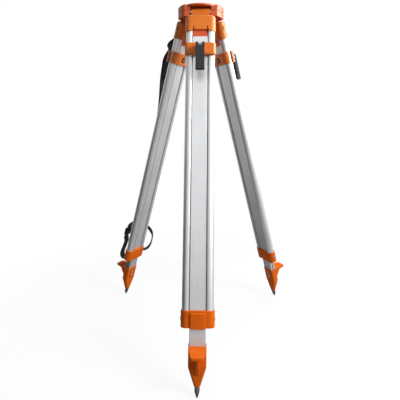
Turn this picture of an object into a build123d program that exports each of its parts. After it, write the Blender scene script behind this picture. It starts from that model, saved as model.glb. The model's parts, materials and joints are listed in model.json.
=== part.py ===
from build123d import *
from math import radians, tan
import os

# Level tripod with a flat head, three sliding aluminium legs and a carrying strap.
# Origin: centre of the head's top face, on the axis of the fixing screw. +Z is up and
# the front leg points to -Y. Millimetres and degrees.
# A leg is drawn hanging straight down from its hinge: "across" is X, "out" is away from
# the tripod's axis (-Y) and "along" is the distance down from the hinge (-Z).

# Stance
LEGS = {"front": 0, "right": 120, "left": 240}  # turn of each leg about the tripod's axis
SPREAD = 17.2            # tilt of each leg from upright as the tripod stands
HINGE_RADIUS = 43.5      # tripod axis to hinge axis
TRAVEL = 684.4           # slide of each leg

# Fits
RUN_FIT = 0.05           # radial clearance of a pin in its bore
SEAT_FIT = 0.1           # clearance between pieces that are fixed together
SLIDE_GAP = 0.4          # clearance of sliding and turning faces
CAST_EDGE = 1.5          # softened outer edges of the castings

# Head
HEAD_RISE = 20.0         # hinge axis to the head's top face
HEAD_DROP = 12.0         # hinge axis to the ring's lower face
HEAD_CORNER = 69.0       # radius of the head's three rounded corners
RIM_RADIUS = 63.0        # round rim that overhangs the flats
RIM_THICK = 5.5
RIM_CHAMFER = 2.0
SEAM_DEPTH = 1.1         # groove round the seam of the head's halves
SEAM_HEIGHT = 2.2
TURNED_EDGE = 1.2        # chamfers of the round pieces
CENTRE_HOLE = 50.0       # hole for the instrument's screw
RING_WALL = 2.0          # between the hinge slots and the open middle of the ring
PIN_DIAMETER = 10.0      # hinge pins
PIN_LENGTH = 76.0
PIN_WALL = 1.8           # ring outside the pins, at the flats by the legs
HEAD_SCREW_CIRCLE = 57.0
HEAD_SCREW_PITCH = 18.0  # spacing of the two screws in each corner
SCREW_DIAMETER = 6.0
SCREW_HEAD = 10.0
SCREW_HEAD_THICK = 4.0
SCREW_BITE = 8.0         # length of thread in the part it holds

# Fixing screw under the head
THREAD_DIAMETER = 15.875  # 5/8 inch
THREAD_REACH = 12.0      # stands above the head
NECK_DIAMETER = 10.0
NECK_BITE = 14.0         # depth of the neck in the knob
ARM_THICK = 3.0
ARM_PIVOT_REACH = 50.0   # tripod axis to the arm's pivot
ARM_PIVOT_WIDTH = 18.0
ARM_WIDTH = 34.0
ARM_NOSE = 26.0          # tripod axis to the arm's front end
ARM_CORNER = 8.0
PIVOT_DIAMETER = 8.0
PIVOT_HEAD = 14.0
PIVOT_HEAD_THICK = 2.5
SCREW_SHIFT = 8.0        # slide of the carriage each way from the middle
BOSS_DIAMETER = 16.6
CARRIAGE_DIAMETER = 31.0
CARRIAGE_HEIGHT = 15.0
CLIP_DIAMETER = 24.0
CLIP_THICK = 1.6
KNOB_DIAMETER = 31.0
KNOB_HEIGHT = 28.0
KNOB_LOBES = 8
KNOB_SCALLOP = 3.2       # radius of the finger scallops

# Rails and inner leg
RAIL_SPAN = 82.0         # over both rails
RAIL_DIAMETER = 25.0
RAIL_WALL = 1.4
RAIL_GAP = 2.5           # open joint between a rail and the inner leg
TONGUE_REACH = 5.0       # tongue's depth in the inner leg, which it guides
TONGUE_THICK = 4.0
INNER_WIDTH = 41.5
INNER_DEPTH = 18.0
INNER_WALL = 1.4
INNER_CORNER = 1.5

# Leg top casting
LUG_WIDTH = 53.0
LUG_GAP = 2.8            # room on each side of the lug
LUG_RADIUS = 9.0
LEG_TOP_START = 16.0
LEG_TOP_HEIGHT = 45.0
LOBE_DROP = 4.5          # lobes round the rails below the middle
LOBE_INSET = 1.0         # start of the lobes beyond the rails' flats
LEG_TOP_WALL = 2.5       # metal round the rails
LEG_TOP_ROUND = 6.0
LEG_TOP_ROOF = 9.0       # solid metal above the rails' ends
PLUG_POCKET = 30.0       # hollow between the rails, which the plug enters
NOTCH_WIDTH = 2.6
NOTCH_HEIGHT = 10.0

# Clamp
CLAMP_START = 103.0
CLAMP_HEIGHT = 34.6
CLAMP_WALL = 2.7         # metal at the rails' sides
CLAMP_FRONT = 19.5       # mid-plane to the outer face
CLAMP_BACK = 17.0
CLAMP_FRONT_ROUND = 9.0
CLAMP_BACK_ROUND = 14.0
JAW_BACK = 3.0           # mid-plane to the inner jaw
CAM_SEAT = 27.5          # mid-plane to the boss that the cam bears on
CAM_SEAT_WIDTH = 24.0
BOLT_DIAMETER = 8.0
BOLT_HEAD = 13.0         # across flats
BOLT_HEAD_THICK = 5.0
BOLT_RECESS = 4.0        # depth of the pocket for the bolt's head
BOLT_POCKET = 18.0
EYE_DIAMETER = 15.0
EYE_WIDTH = 9.0

# Lever
LEVER_WIDTH = 24.4
LEVER_CAM = 9.0          # radius of the cam
CAM_INSET = 18.5         # clamp's upper edge to the cam's axis
LEVER_PIN = 6.0
LEVER_LENGTH = 72.5      # cam centre to the free end
LEVER_THICK = 8.4
LEVER_PAD = 3.5          # extra thickness of the free end
LEVER_PAD_LENGTH = 18.0
LEVER_ROUND = 1.6

# Plug, collar, foot and spike
PLUG_HEIGHT = 23.0
PLUG_NECK = 23.0         # bare inner leg between plug and clamp
PLUG_STUB = 14.0
COLLAR_HEIGHT = 42.0
COLLAR_WALL = 2.5
COLLAR_PANEL_WIDTH = 38.0
COLLAR_PANEL_OUT = 18.5
COLLAR_PANEL_INSET = 5.5  # panel below the collar's upper edge
COLLAR_PANEL_DROP = 2.0  # and past its lower edge
COLLAR_LEDGE = 3.0
COLLAR_ROUND = 2.0
FOOT_GAP = 49.5          # collar to foot with the leg closed
FOOT_WALL = 2.2
FOOT_BACK_RISE = 7.0     # inner half of the socket above the outer half
FOOT_STRAIGHT = 44.5
FOOT_TAPER = 48.0
FOOT_CORNER = 4.0
FOOT_SOCKET = 34.0
FOOT_SCREW_INSET = 11.0  # foot's upper edge to its first screw
FOOT_SCREW_PITCH = 14.0
FOOT_NOSE = 16.5         # width of the taper's lower end
FOOT_SET_BACK = 6.0      # spike axis behind the leg's mid-plane
PEDAL_OUT = 57.0
PEDAL_WIDTH = 45.0
PEDAL_TIP_WIDTH = 30.0
PEDAL_RISE = 5.5         # pedal's root above the foot's top
PEDAL_SLOPE = 10.6       # fall from root to tip
PEDAL_THICK = 6.0
PEDAL_RIB = 6.8
PEDAL_RIB_DROP = 79.0
SPIKE_DIAMETER = 13.0
SPIKE_SHOULDER = 13.0
SPIKE_LENGTH = 27.0
SPIKE_TIP = 2.0          # radius of the blunt end
SPIKE_STUB = 8.0         # diameter of the stub in the foot
SPIKE_STUB_LENGTH = 16.0

# Small screws of the legs
SMALL_SCREW = 4.0
SMALL_HEAD = 9.0
SMALL_HEAD_THICK = 2.4

# Carrying strap on the left leg
STRAP_WIDTH = 25.0
STRAP_THICK = 1.6
STRAP_FOLD = 49.0        # mid-plane to the sewn fold that stands out below the upper loop
STRAP_NECK = 42.0        # and to the neck below the fold
FOLD_DROP = 30.0         # upper loop to the fold, along the leg
NECK_DROP = 9.0          # fold to the neck
STRAP_BOW = 7.9          # the bow stands off the lever's face by this much
STRAP_SLACK = 2.4        # and off the lever's free end by this much
STRAP_LOW_BOW = 1.3      # the lower bow stands clear of the passing lever
STRAP_BELLY = 6.0        # bulge of the lower bow beside the collar
STRAP_RUN = 18.0         # middle stretch, from the leg's mid-plane
STRAP_SHOULDER = 15.0    # rise of the bows at their ends
STRAP_STEP = 74.0        # spacing of the bends along the leg
LOWER_BOW = 74.0         # the lower bow starts this far above the collar
LOWER_RISE = 36.0        # length of its rise from the middle stretch
LOWER_SAG = 24.0         # turn of the strap below the collar
WIRE = 4.0               # diameter of the wire loops
WIRE_OUT = 8.0
UPPER_LOOP_SPAN = 52.0   # wide, so that the strap can slide off the lever sideways
LOWER_LOOP_SPAN = 32.0
UPPER_LOOP_INSET = 5.5   # upper wire loop above the lobes' lower edge
SLIDER_ABOVE = 48.5      # collar's upper edge to the slider's middle
SLIDER_WIDTH = 33.0
SLIDER_HEIGHT = 30.0
SLIDER_THICK = 4.0
SLIDER_SLOT = 6.0
TAIL_WIDTH = 10.0
TAIL_TURN = 32.0         # the loose loop is turned inwards beside the leg
TAIL_REACH = 93.0        # slider's edge to the far side of the loose loop
TAIL_RISE = 19.0         # loop above the slider's middle
TAIL_DROP = 90.0         # and below it
TAIL_CURL = 5.0          # rounding of the loop at its far side
TAIL_ROOT = 3.4          # slider's edge to the outer edge of the loop's root

# Places worked out from the sizes above
HINGE_Z = -HEAD_RISE
SEAM_Z = HINGE_Z + PIN_DIAMETER / 2
RING_FLOOR_Z = HINGE_Z - HEAD_DROP
HEAD_FLAT = HINGE_RADIUS + PIN_DIAMETER / 2 + SEAT_FIT + PIN_WALL   # tripod axis to the flats at the legs
SLOT_INNER = HINGE_RADIUS - LUG_RADIUS - 2 * SLIDE_GAP
RING_HOLE = 2 * (SLOT_INNER - RING_WALL)
LEG_TOP_END = LEG_TOP_START + LEG_TOP_HEIGHT
LOBE_END = LEG_TOP_END + LOBE_DROP
CLAMP_END = CLAMP_START + CLAMP_HEIGHT
COLLAR_START = CLAMP_END + TRAVEL
COLLAR_END = COLLAR_START + COLLAR_HEIGHT
PLUG_END = CLAMP_START - PLUG_NECK
PLUG_START = PLUG_END - PLUG_HEIGHT
FOOT_START = COLLAR_END + FOOT_GAP
FOOT_TAPER_START = FOOT_START + FOOT_STRAIGHT
FOOT_END = FOOT_TAPER_START + FOOT_TAPER
LEG_LENGTH = FOOT_END + SPIKE_LENGTH
LEG_TOP_WIDTH = RAIL_SPAN + 2 * LEG_TOP_WALL
LEG_TOP_DEPTH = RAIL_DIAMETER + 2 * LEG_TOP_WALL
CLAMP_WIDTH = RAIL_SPAN + 2 * CLAMP_WALL
COLLAR_WIDTH = RAIL_SPAN + 2 * COLLAR_WALL
COLLAR_DEPTH = RAIL_DIAMETER + 2 * COLLAR_WALL
FOOT_WIDTH = INNER_WIDTH + 2 * FOOT_WALL
FOOT_DEPTH = INNER_DEPTH + 2 * FOOT_WALL
RAIL_RADIUS = RAIL_DIAMETER / 2
RAIL_CENTRE = RAIL_SPAN / 2 - RAIL_RADIUS
RAIL_FLAT = INNER_WIDTH / 2 + RAIL_GAP
JAW_FRONT = INNER_DEPTH / 2 + SEAT_FIT
BOLT_SEAT = CLAMP_BACK - BOLT_RECESS
RAIL_START = LEG_TOP_START + LEG_TOP_ROOF
RAIL_END = COLLAR_END - COLLAR_LEDGE
SLOT_WIDTH = LUG_WIDTH + 2 * LUG_GAP
CAM_OUT = CAM_SEAT + LEVER_CAM + SLIDE_GAP
CAM_ALONG = CLAMP_START + CAM_INSET
LEVER_OUT = CAM_OUT + LEVER_CAM
LEVER_END = CAM_ALONG + LEVER_LENGTH
ARM_TOP_Z = RING_FLOOR_Z - SLIDE_GAP
ARM_FLOOR_Z = ARM_TOP_Z - ARM_THICK
CLIP_FLOOR_Z = ARM_TOP_Z + SLIDE_GAP
CARRIAGE_TOP_Z = ARM_FLOOR_Z - SLIDE_GAP
CARRIAGE_FLOOR_Z = CARRIAGE_TOP_Z - CARRIAGE_HEIGHT
BOSS_TOP_Z = CLIP_FLOOR_Z + CLIP_THICK + SLIDE_GAP
KNOB_TOP_Z = CARRIAGE_FLOOR_Z - SLIDE_GAP
UPPER_LOOP_ALONG = LOBE_END - UPPER_LOOP_INSET
UPPER_LOOP_OUT = LEG_TOP_DEPTH / 2 + WIRE_OUT
LOWER_LOOP_ALONG = COLLAR_END + COLLAR_PANEL_DROP + WIRE_OUT
LOWER_LOOP_OUT = (COLLAR_PANEL_OUT + INNER_DEPTH / 2) / 2 + SLIDE_GAP
LOOP_REACH = WIRE / 2 + STRAP_THICK / 2 + SLIDE_GAP
LOWER_BOW_ALONG = COLLAR_START - LOWER_BOW
SLIDER_ALONG = COLLAR_START - SLIDER_ABOVE
SLIDER_OUT = LEVER_OUT + STRAP_LOW_BOW + STRAP_THICK / 2 + SLIDE_GAP

SIDE = Plane(origin=(0, 0, 0), x_dir=(0, -1, 0), z_dir=(-1, 0, 0))   # x is out, -y is along
FACE = Plane(origin=(0, 0, 0), x_dir=(1, 0, 0), z_dir=(0, -1, 0))    # x is across, -y is along


def leg_at(shape, leg):
    """A leg's piece, tilted at its hinge and turned to its place round the head."""
    turn = Rot(0, 0, LEGS[leg])
    return turn * Pos(0, -HINGE_RADIUS, HINGE_Z) * Rot(-SPREAD, 0, 0) * shape


def prism(section, start, end):
    """A plan section carried along the leg from start to end."""
    return Pos(0, 0, -end) * extrude(section, end - start)


def soft_ends(casting):
    """A casting with the edges of its upper and lower faces rounded."""
    rows = casting.edges().group_by(Axis.Z)
    return fillet(rows[0] + rows[-1], CAST_EDGE)


def slab(outline, width):
    """A side outline (out, -along) made solid across the leg."""
    return extrude(SIDE * outline, width / 2, both=True)


def cross_rod(diameter, start, end, out, along):
    """A round bar across the leg."""
    return Pos(start, -out, -along) * extrude(Plane.YZ * Circle(diameter / 2), end - start)


def out_rod(diameter, start, end, along, across=0):
    """A round bar that points out of the leg."""
    return Pos(across, -end, -along) * extrude(Plane.XZ * Circle(diameter / 2), -(end - start))


def post(diameter, low, high, x=0, y=0):
    """An upright round bar."""
    return Pos(x, y, low) * extrude(Circle(diameter / 2), high - low)


def bolt_corners():
    """Places of the head screws, two in each corner of the head."""
    spots = []
    for turn in LEGS.values():
        for side in (-1, 1):
            spot = Rot(0, 0, turn) * Pos(side * HEAD_SCREW_PITCH / 2, HEAD_SCREW_CIRCLE, 0)
            spots.append(spot.position)
    return spots


# Head

def head_outline(inset=0):
    """A disc with a flat at each leg."""
    outline = Circle(HEAD_CORNER - inset)
    size = 2 * HEAD_CORNER
    for turn in LEGS.values():
        outline -= Rot(0, 0, turn) * Pos(0, inset - HEAD_FLAT - size / 2) * Rectangle(size, size)
    return outline


def hinge_slots(low, high):
    """The room for the three lugs, open towards the outside."""
    length = HEAD_CORNER - SLOT_INNER
    slot = Pos(0, -SLOT_INNER - length / 2) * Rectangle(SLOT_WIDTH, length)
    slots = [Rot(0, 0, turn) * slot for turn in LEGS.values()]
    return [Pos(0, 0, low) * extrude(slot, high - low) for slot in slots]


def head_plate():
    """Upper half of the head: flat top with a round rim over the hinges."""
    rim = Pos(0, 0, -RIM_THICK) * extrude(Circle(RIM_RADIUS), RIM_THICK)
    plate = Pos(0, 0, SEAM_Z) * extrude(head_outline(), -SEAM_Z) + rim
    plate = chamfer(plate.edges().group_by(Axis.Z)[-1], RIM_CHAMFER)
    plate -= post(RING_HOLE, SEAM_Z, -RIM_THICK)
    plate -= post(CENTRE_HOLE, -RIM_THICK, 0)
    for slot in hinge_slots(SEAM_Z, -RIM_THICK):
        plate -= slot
    for spot in bolt_corners():
        plate -= post(SCREW_DIAMETER + 2 * SEAT_FIT, SEAM_Z, SEAM_Z + SCREW_BITE, spot.X, spot.Y)
    return plate


def hinge_ring():
    """Lower half of the head, with channels that hold the hinge pins and a groove at the seam."""
    ring = Pos(0, 0, RING_FLOOR_Z) * extrude(head_outline(), SEAM_Z - SEAM_HEIGHT - RING_FLOOR_Z)
    ring += Pos(0, 0, SEAM_Z - SEAM_HEIGHT) * extrude(head_outline(SEAM_DEPTH), SEAM_HEIGHT)
    ring -= post(RING_HOLE, RING_FLOOR_Z, SEAM_Z)
    for slot in hinge_slots(RING_FLOOR_Z, SEAM_Z):
        ring -= slot
    width = PIN_DIAMETER + 2 * SEAT_FIT
    groove = Pos(0, -width / 2) * Circle(width / 2) + Rectangle(width, width)
    reach = PIN_LENGTH / 2 + SEAT_FIT
    channel = Pos(0, -HINGE_RADIUS, SEAM_Z) * extrude(Plane.YZ * groove, reach, both=True)
    for turn in LEGS.values():
        ring -= Rot(0, 0, turn) * channel
    for spot in bolt_corners():
        ring -= post(SCREW_DIAMETER + 2 * SEAT_FIT, RING_FLOOR_Z, SEAM_Z, spot.X, spot.Y)
        recess = SCREW_HEAD + 2 * SEAT_FIT
        ring -= post(recess, RING_FLOOR_Z, RING_FLOOR_Z + SCREW_HEAD_THICK, spot.X, spot.Y)
    ring -= post(SCREW_DIAMETER + 2 * SEAT_FIT, RING_FLOOR_Z, SEAM_Z, 0, ARM_PIVOT_REACH)
    return ring


def hinge_pins():
    """One pin for each leg."""
    pin = cross_rod(PIN_DIAMETER, -PIN_LENGTH / 2, PIN_LENGTH / 2, HINGE_RADIUS, HEAD_RISE)
    return Compound([Rot(0, 0, turn) * pin for turn in LEGS.values()])


def head_screws():
    """Screws that hold the two halves of the head together, heads let into the ring."""
    screws = []
    for spot in bolt_corners():
        head = post(SCREW_HEAD, RING_FLOOR_Z, RING_FLOOR_Z + SCREW_HEAD_THICK, spot.X, spot.Y)
        screws.append(head + post(SCREW_DIAMETER, RING_FLOOR_Z, SEAM_Z + SCREW_BITE, spot.X, spot.Y))
    return Compound(screws)


# Fixing screw: an arm swings under the head and a carriage slides along the arm

def screw_arm():
    """Flat arm with a slot for the carriage, swinging on the rear corner of the head."""
    tongue = RectangleRounded(ARM_WIDTH, 2 * ARM_NOSE, ARM_CORNER)
    heel = Pos(0, ARM_PIVOT_REACH) * Circle(ARM_PIVOT_WIDTH / 2)
    outline = make_hull((tongue + heel).edges())
    slot_length = BOSS_DIAMETER + 2 * SLIDE_GAP + 2 * SCREW_SHIFT
    outline -= Rot(0, 0, 90) * SlotOverall(slot_length, BOSS_DIAMETER + 2 * SLIDE_GAP)
    outline -= Pos(0, ARM_PIVOT_REACH) * Circle(PIVOT_DIAMETER / 2 + RUN_FIT)
    return Pos(0, 0, ARM_FLOOR_Z) * extrude(outline, ARM_THICK)


def arm_pivot():
    """Shoulder screw that the arm swings on."""
    head_top = ARM_FLOOR_Z - SLIDE_GAP
    screw = post(PIVOT_HEAD, head_top - PIVOT_HEAD_THICK, head_top, 0, ARM_PIVOT_REACH)
    screw += post(PIVOT_DIAMETER, head_top, RING_FLOOR_Z, 0, ARM_PIVOT_REACH)
    return screw + post(SCREW_DIAMETER, RING_FLOOR_Z, SEAM_Z, 0, ARM_PIVOT_REACH)


def screw_carriage():
    """Round block under the arm, with a boss that slides in the arm's slot."""
    block = post(CARRIAGE_DIAMETER, CARRIAGE_FLOOR_Z, CARRIAGE_TOP_Z)
    block = chamfer(block.edges().group_by(Axis.Z)[0], TURNED_EDGE)
    block += post(BOSS_DIAMETER, CARRIAGE_TOP_Z, BOSS_TOP_Z)
    return block - post(NECK_DIAMETER + 2 * RUN_FIT, CARRIAGE_FLOOR_Z, BOSS_TOP_Z)


def carriage_clip():
    """Ring on the boss that keeps the carriage on the arm."""
    ring = Circle(CLIP_DIAMETER / 2) - Circle(BOSS_DIAMETER / 2)
    return Pos(0, 0, CLIP_FLOOR_Z) * extrude(ring, CLIP_THICK)


def fixing_screw():
    """Stud that screws into the instrument, with a neck that turns in the carriage."""
    thread_low = BOSS_TOP_Z + SLIDE_GAP
    thread = post(THREAD_DIAMETER, thread_low, THREAD_REACH)
    thread = chamfer(thread.edges().group_by(Axis.Z)[-1], TURNED_EDGE)
    return thread + post(NECK_DIAMETER, KNOB_TOP_Z - NECK_BITE, thread_low)


def screw_knob():
    """Hand knob with finger scallops."""
    low = KNOB_TOP_Z - KNOB_HEIGHT
    grip = Circle(KNOB_DIAMETER / 2)
    for spot in PolarLocations(KNOB_DIAMETER / 2 + KNOB_SCALLOP / 2, KNOB_LOBES):
        grip -= spot * Circle(KNOB_SCALLOP)
    knob = Pos(0, 0, low) * extrude(grip, KNOB_HEIGHT)
    knob = chamfer(knob.edges().group_by(Axis.Z)[0], TURNED_EDGE)
    return knob - post(NECK_DIAMETER + 2 * SEAT_FIT, KNOB_TOP_Z - NECK_BITE, KNOB_TOP_Z)


# Leg sections, in plan

def rail_outline(grow=0):
    """Right rail: a round tube with a flat towards the inner leg and a tongue on the flat."""
    size = 2 * RAIL_DIAMETER
    outline = Pos(RAIL_CENTRE, 0) * Circle(RAIL_RADIUS + grow)
    outline -= Pos(RAIL_FLAT - grow - size / 2, 0) * Rectangle(size, size)
    tongue = TONGUE_REACH + RAIL_GAP + grow + RAIL_WALL
    return outline + Pos(RAIL_FLAT + RAIL_WALL - tongue / 2, 0) * Rectangle(tongue, TONGUE_THICK + 2 * grow)


def rail_section():
    """The rail's outline with its bore taken out."""
    size = 2 * RAIL_DIAMETER
    bore = Pos(RAIL_CENTRE, 0) * Circle(RAIL_RADIUS - RAIL_WALL)
    bore -= Pos(RAIL_FLAT + RAIL_WALL - size / 2, 0) * Rectangle(size, size)
    return rail_outline() - bore


def both_sides(sketch):
    """A sketch and its mirror image across the leg's middle."""
    return sketch + mirror(sketch, Plane.YZ)


def inner_outline():
    """The inner leg with a groove down each side for the rails' tongues."""
    depth = TONGUE_REACH + SLIDE_GAP
    groove = Rectangle(2 * depth, TONGUE_THICK + 2 * SLIDE_GAP)
    outline = RectangleRounded(INNER_WIDTH, INNER_DEPTH, INNER_CORNER)
    return outline - both_sides(Pos(INNER_WIDTH / 2, 0) * groove)


def inner_bore(shrink=0):
    """Hollow of the inner leg, between the grooves."""
    width = INNER_WIDTH - 2 * (TONGUE_REACH + SLIDE_GAP + INNER_WALL + shrink)
    return Rectangle(width, INNER_DEPTH - 2 * (INNER_WALL + shrink))


def leg_passage(rail_gap, inner_gap):
    """Opening that takes both rails and the inner leg side by side."""
    rails = both_sides(Pos(RAIL_CENTRE, 0) * Circle(RAIL_RADIUS + rail_gap))
    return rails + Rectangle(2 * RAIL_CENTRE, INNER_DEPTH + 2 * inner_gap)


def rail_screw_spots():
    """Distances along the leg of the screws that hold the rails."""
    return RAIL_START + LEG_TOP_ROOF, COLLAR_START + COLLAR_HEIGHT / 2


# Leg: upper half, from the hinge to the collar

def leg_top():
    """Hinge casting: a lug for the pin over a rounded block with lobes and sockets for the rails."""
    block = prism(SlotOverall(LEG_TOP_WIDTH, LEG_TOP_DEPTH), LEG_TOP_START, LOBE_END)
    block = fillet(block.edges().group_by(Axis.Z)[-1], LEG_TOP_ROUND)
    reach = LEG_TOP_START + LEG_TOP_ROUND
    lug = Circle(LUG_RADIUS) + Pos(0, -reach / 2) * Rectangle(2 * LUG_RADIUS, reach)
    casting = block + slab(lug, LUG_WIDTH)
    casting -= cross_rod(PIN_DIAMETER + 2 * RUN_FIT, -LUG_WIDTH, LUG_WIDTH, 0, 0)
    casting -= prism(Rectangle(2 * (RAIL_FLAT + LOBE_INSET), LEG_TOP_DEPTH), LEG_TOP_END, LOBE_END)
    casting -= prism(both_sides(rail_outline(SEAT_FIT)), RAIL_START, LOBE_END)
    pocket = Rectangle(2 * RAIL_FLAT, INNER_DEPTH + 2 * SLIDE_GAP)
    casting -= prism(pocket, LEG_TOP_END - PLUG_POCKET, LEG_TOP_END)
    notch = Rectangle(NOTCH_WIDTH, LEG_TOP_DEPTH - INNER_DEPTH)
    notch = Pos((INNER_WIDTH - NOTCH_WIDTH) / 2, -LEG_TOP_DEPTH / 2) * notch
    casting -= prism(both_sides(notch), LEG_TOP_END - NOTCH_HEIGHT, LEG_TOP_END)
    for side in (-1, 1):
        casting -= rail_screw(side, rail_screw_spots()[0], LEG_TOP_WIDTH, SEAT_FIT)
    return casting


def rail(side):
    """One of the two aluminium rails, left (-1) or right (1)."""
    section = rail_section() if side > 0 else mirror(rail_section(), Plane.YZ)
    tube = prism(section, RAIL_START, RAIL_END)
    for along, width in zip(rail_screw_spots(), (LEG_TOP_WIDTH, COLLAR_WIDTH)):
        tube -= rail_screw(side, along, width, SEAT_FIT)
    return tube


def rail_screw(side, along, width, grow=0):
    """Pan-head screw through a casting's side into a rail, or its hole."""
    face = width / 2 - SMALL_HEAD_THICK / 2
    inner = RAIL_CENTRE + RAIL_RADIUS - 2 * RAIL_WALL
    shank = cross_rod(SMALL_SCREW + 2 * grow, side * (inner - grow), side * face, 0, along)
    head = cross_rod(SMALL_HEAD + 2 * grow, side * (face - grow), side * (face + SMALL_HEAD_THICK), 0, along)
    return shank + head


def rail_screws():
    """The four screws that hold a leg's rails."""
    spots = zip(rail_screw_spots(), (LEG_TOP_WIDTH, COLLAR_WIDTH))
    return Compound([rail_screw(side, along, width) for along, width in spots for side in (-1, 1)])


def collar():
    """Casting at the rails' lower ends, open for the inner leg, with a raised outer panel."""
    block = soft_ends(prism(SlotOverall(COLLAR_WIDTH, COLLAR_DEPTH), COLLAR_START, COLLAR_END))
    panel = Pos(0, -COLLAR_PANEL_OUT / 2) * Rectangle(COLLAR_PANEL_WIDTH, COLLAR_PANEL_OUT)
    raised = prism(panel, COLLAR_START + COLLAR_PANEL_INSET, COLLAR_END + COLLAR_PANEL_DROP)
    raised = fillet(raised.edges().group_by(Axis.Y)[0], COLLAR_ROUND)
    ring = block + raised
    ring -= prism(both_sides(rail_outline(SEAT_FIT)), COLLAR_START, RAIL_END)
    guide = Rectangle(2 * RAIL_FLAT, INNER_DEPTH + 2 * SLIDE_GAP)
    ring -= prism(guide, COLLAR_START, COLLAR_END + COLLAR_PANEL_DROP)
    for side in (-1, 1):
        ring -= rail_screw(side, rail_screw_spots()[1], COLLAR_WIDTH, SEAT_FIT)
    return ring


# Leg: sliding half

def inner_leg():
    """Flat aluminium tube that slides between the rails."""
    tube = prism(inner_outline() - inner_bore(), PLUG_END, FOOT_START + FOOT_SOCKET)
    tube -= out_rod(BOLT_DIAMETER + 2 * SEAT_FIT, -INNER_DEPTH, INNER_DEPTH, CAM_ALONG)
    for along in foot_screw_spots():
        tube -= foot_screw(along, SEAT_FIT)
    return tube


def leg_plug():
    """Moulded cap in the inner leg's top end."""
    cap = prism(inner_outline(), PLUG_START, PLUG_END)
    cap = chamfer(cap.edges().group_by(Axis.Z)[-1], SLIDE_GAP)
    return cap + prism(inner_bore(SEAT_FIT), PLUG_END, PLUG_END + PLUG_STUB)


def clamp_block():
    """Both jaws before they are parted: round corners, a seat for the cam, open for rails and inner leg."""
    depth = CLAMP_FRONT + CLAMP_BACK
    section = Pos(0, CLAMP_BACK - depth / 2) * Rectangle(CLAMP_WIDTH, depth)
    section = fillet(section.vertices().group_by(Axis.Y)[0], CLAMP_FRONT_ROUND)
    section = fillet(section.vertices().sort_by(Axis.Y)[-2:], CLAMP_BACK_ROUND)
    block = soft_ends(prism(section, CLAMP_START, CLAMP_END))
    seat = Pos(0, -CAM_SEAT / 2) * Rectangle(CAM_SEAT_WIDTH, CAM_SEAT)
    block += prism(seat, CAM_ALONG - LEVER_CAM, CAM_ALONG + LEVER_CAM)
    block -= prism(leg_passage(SLIDE_GAP, SEAT_FIT), CLAMP_START, CLAMP_END)
    block -= out_rod(BOLT_POCKET, -CLAMP_BACK, -BOLT_SEAT, CAM_ALONG)
    return block - out_rod(BOLT_DIAMETER + 2 * SEAT_FIT, -CLAMP_BACK, CAM_SEAT, CAM_ALONG)


def clamp_jaw(side, inner_face):
    """Outer (-1) or inner (1) jaw: the clamp block beyond the jaw's inner face."""
    half = Pos(0, side * (inner_face + CLAMP_WIDTH / 2)) * Rectangle(2 * CLAMP_WIDTH, CLAMP_WIDTH)
    return clamp_block() & prism(half, CLAMP_START, CLAMP_END)


def clamp_bolt():
    """Bolt through both jaws and the inner leg, with an eye for the lever's pin."""
    head = Pos(0, BOLT_SEAT, -CAM_ALONG) * extrude(
        Plane.XZ * RegularPolygon(BOLT_HEAD / 2, 6, major_radius=False), -BOLT_HEAD_THICK)
    shank = out_rod(BOLT_DIAMETER, -BOLT_SEAT, CAM_OUT, CAM_ALONG)
    eye = cross_rod(EYE_DIAMETER, -EYE_WIDTH / 2, EYE_WIDTH / 2, CAM_OUT, CAM_ALONG)
    bore = cross_rod(LEVER_PIN + 2 * RUN_FIT, -EYE_WIDTH, EYE_WIDTH, CAM_OUT, CAM_ALONG)
    return head + shank + eye - bore


def lever():
    """Cam lever, forked over the bolt's eye, with a thicker free end."""
    face = LEVER_OUT - LEVER_THICK
    end = LEVER_END
    corners = [
        (LEVER_OUT, -CAM_ALONG), (LEVER_OUT, -end), (face, -end),
        (face - LEVER_PAD, -end + LEVER_PAD), (face - LEVER_PAD, -end + LEVER_PAD_LENGTH / 2),
        (face, -end + LEVER_PAD_LENGTH), (face, -CAM_ALONG),
    ]
    handle = slab(make_face(Polyline(corners, close=True)), LEVER_WIDTH)
    handle = fillet(handle.edges().group_by(Axis.Z)[0], LEVER_ROUND)
    body = handle + cross_rod(2 * LEVER_CAM, -LEVER_WIDTH / 2, LEVER_WIDTH / 2, CAM_OUT, CAM_ALONG)
    fork_start = CAM_ALONG - LEVER_CAM
    fork_end = CAM_ALONG + EYE_DIAMETER / 2 + SLIDE_GAP
    fork = Pos(LEVER_OUT, -(fork_start + fork_end) / 2) * Rectangle(2 * LEVER_OUT, fork_end - fork_start)
    body -= slab(fork, EYE_WIDTH + 2 * SLIDE_GAP)
    return body - cross_rod(LEVER_PIN + 2 * SEAT_FIT, -LEVER_WIDTH, LEVER_WIDTH, CAM_OUT, CAM_ALONG)


def lever_pin():
    """Pin of the cam, fixed in the lever's fork."""
    return cross_rod(LEVER_PIN, -LEVER_WIDTH / 2, LEVER_WIDTH / 2, CAM_OUT, CAM_ALONG)


def foot_screw_spots():
    """Distances along the leg of the screws that hold the foot."""
    first = FOOT_START + FOOT_SCREW_INSET
    return first, first + FOOT_SCREW_PITCH


def foot_screw(along, grow=0):
    """Pan-head screw through the foot's inner face into the inner leg, or its hole."""
    face = FOOT_DEPTH / 2
    shank = out_rod(SMALL_SCREW + 2 * grow, -face, -INNER_DEPTH / 2 + 2 * INNER_WALL + grow, along)
    return shank + out_rod(SMALL_HEAD + 2 * grow, -face - SMALL_HEAD_THICK, -face + grow, along)


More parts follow.
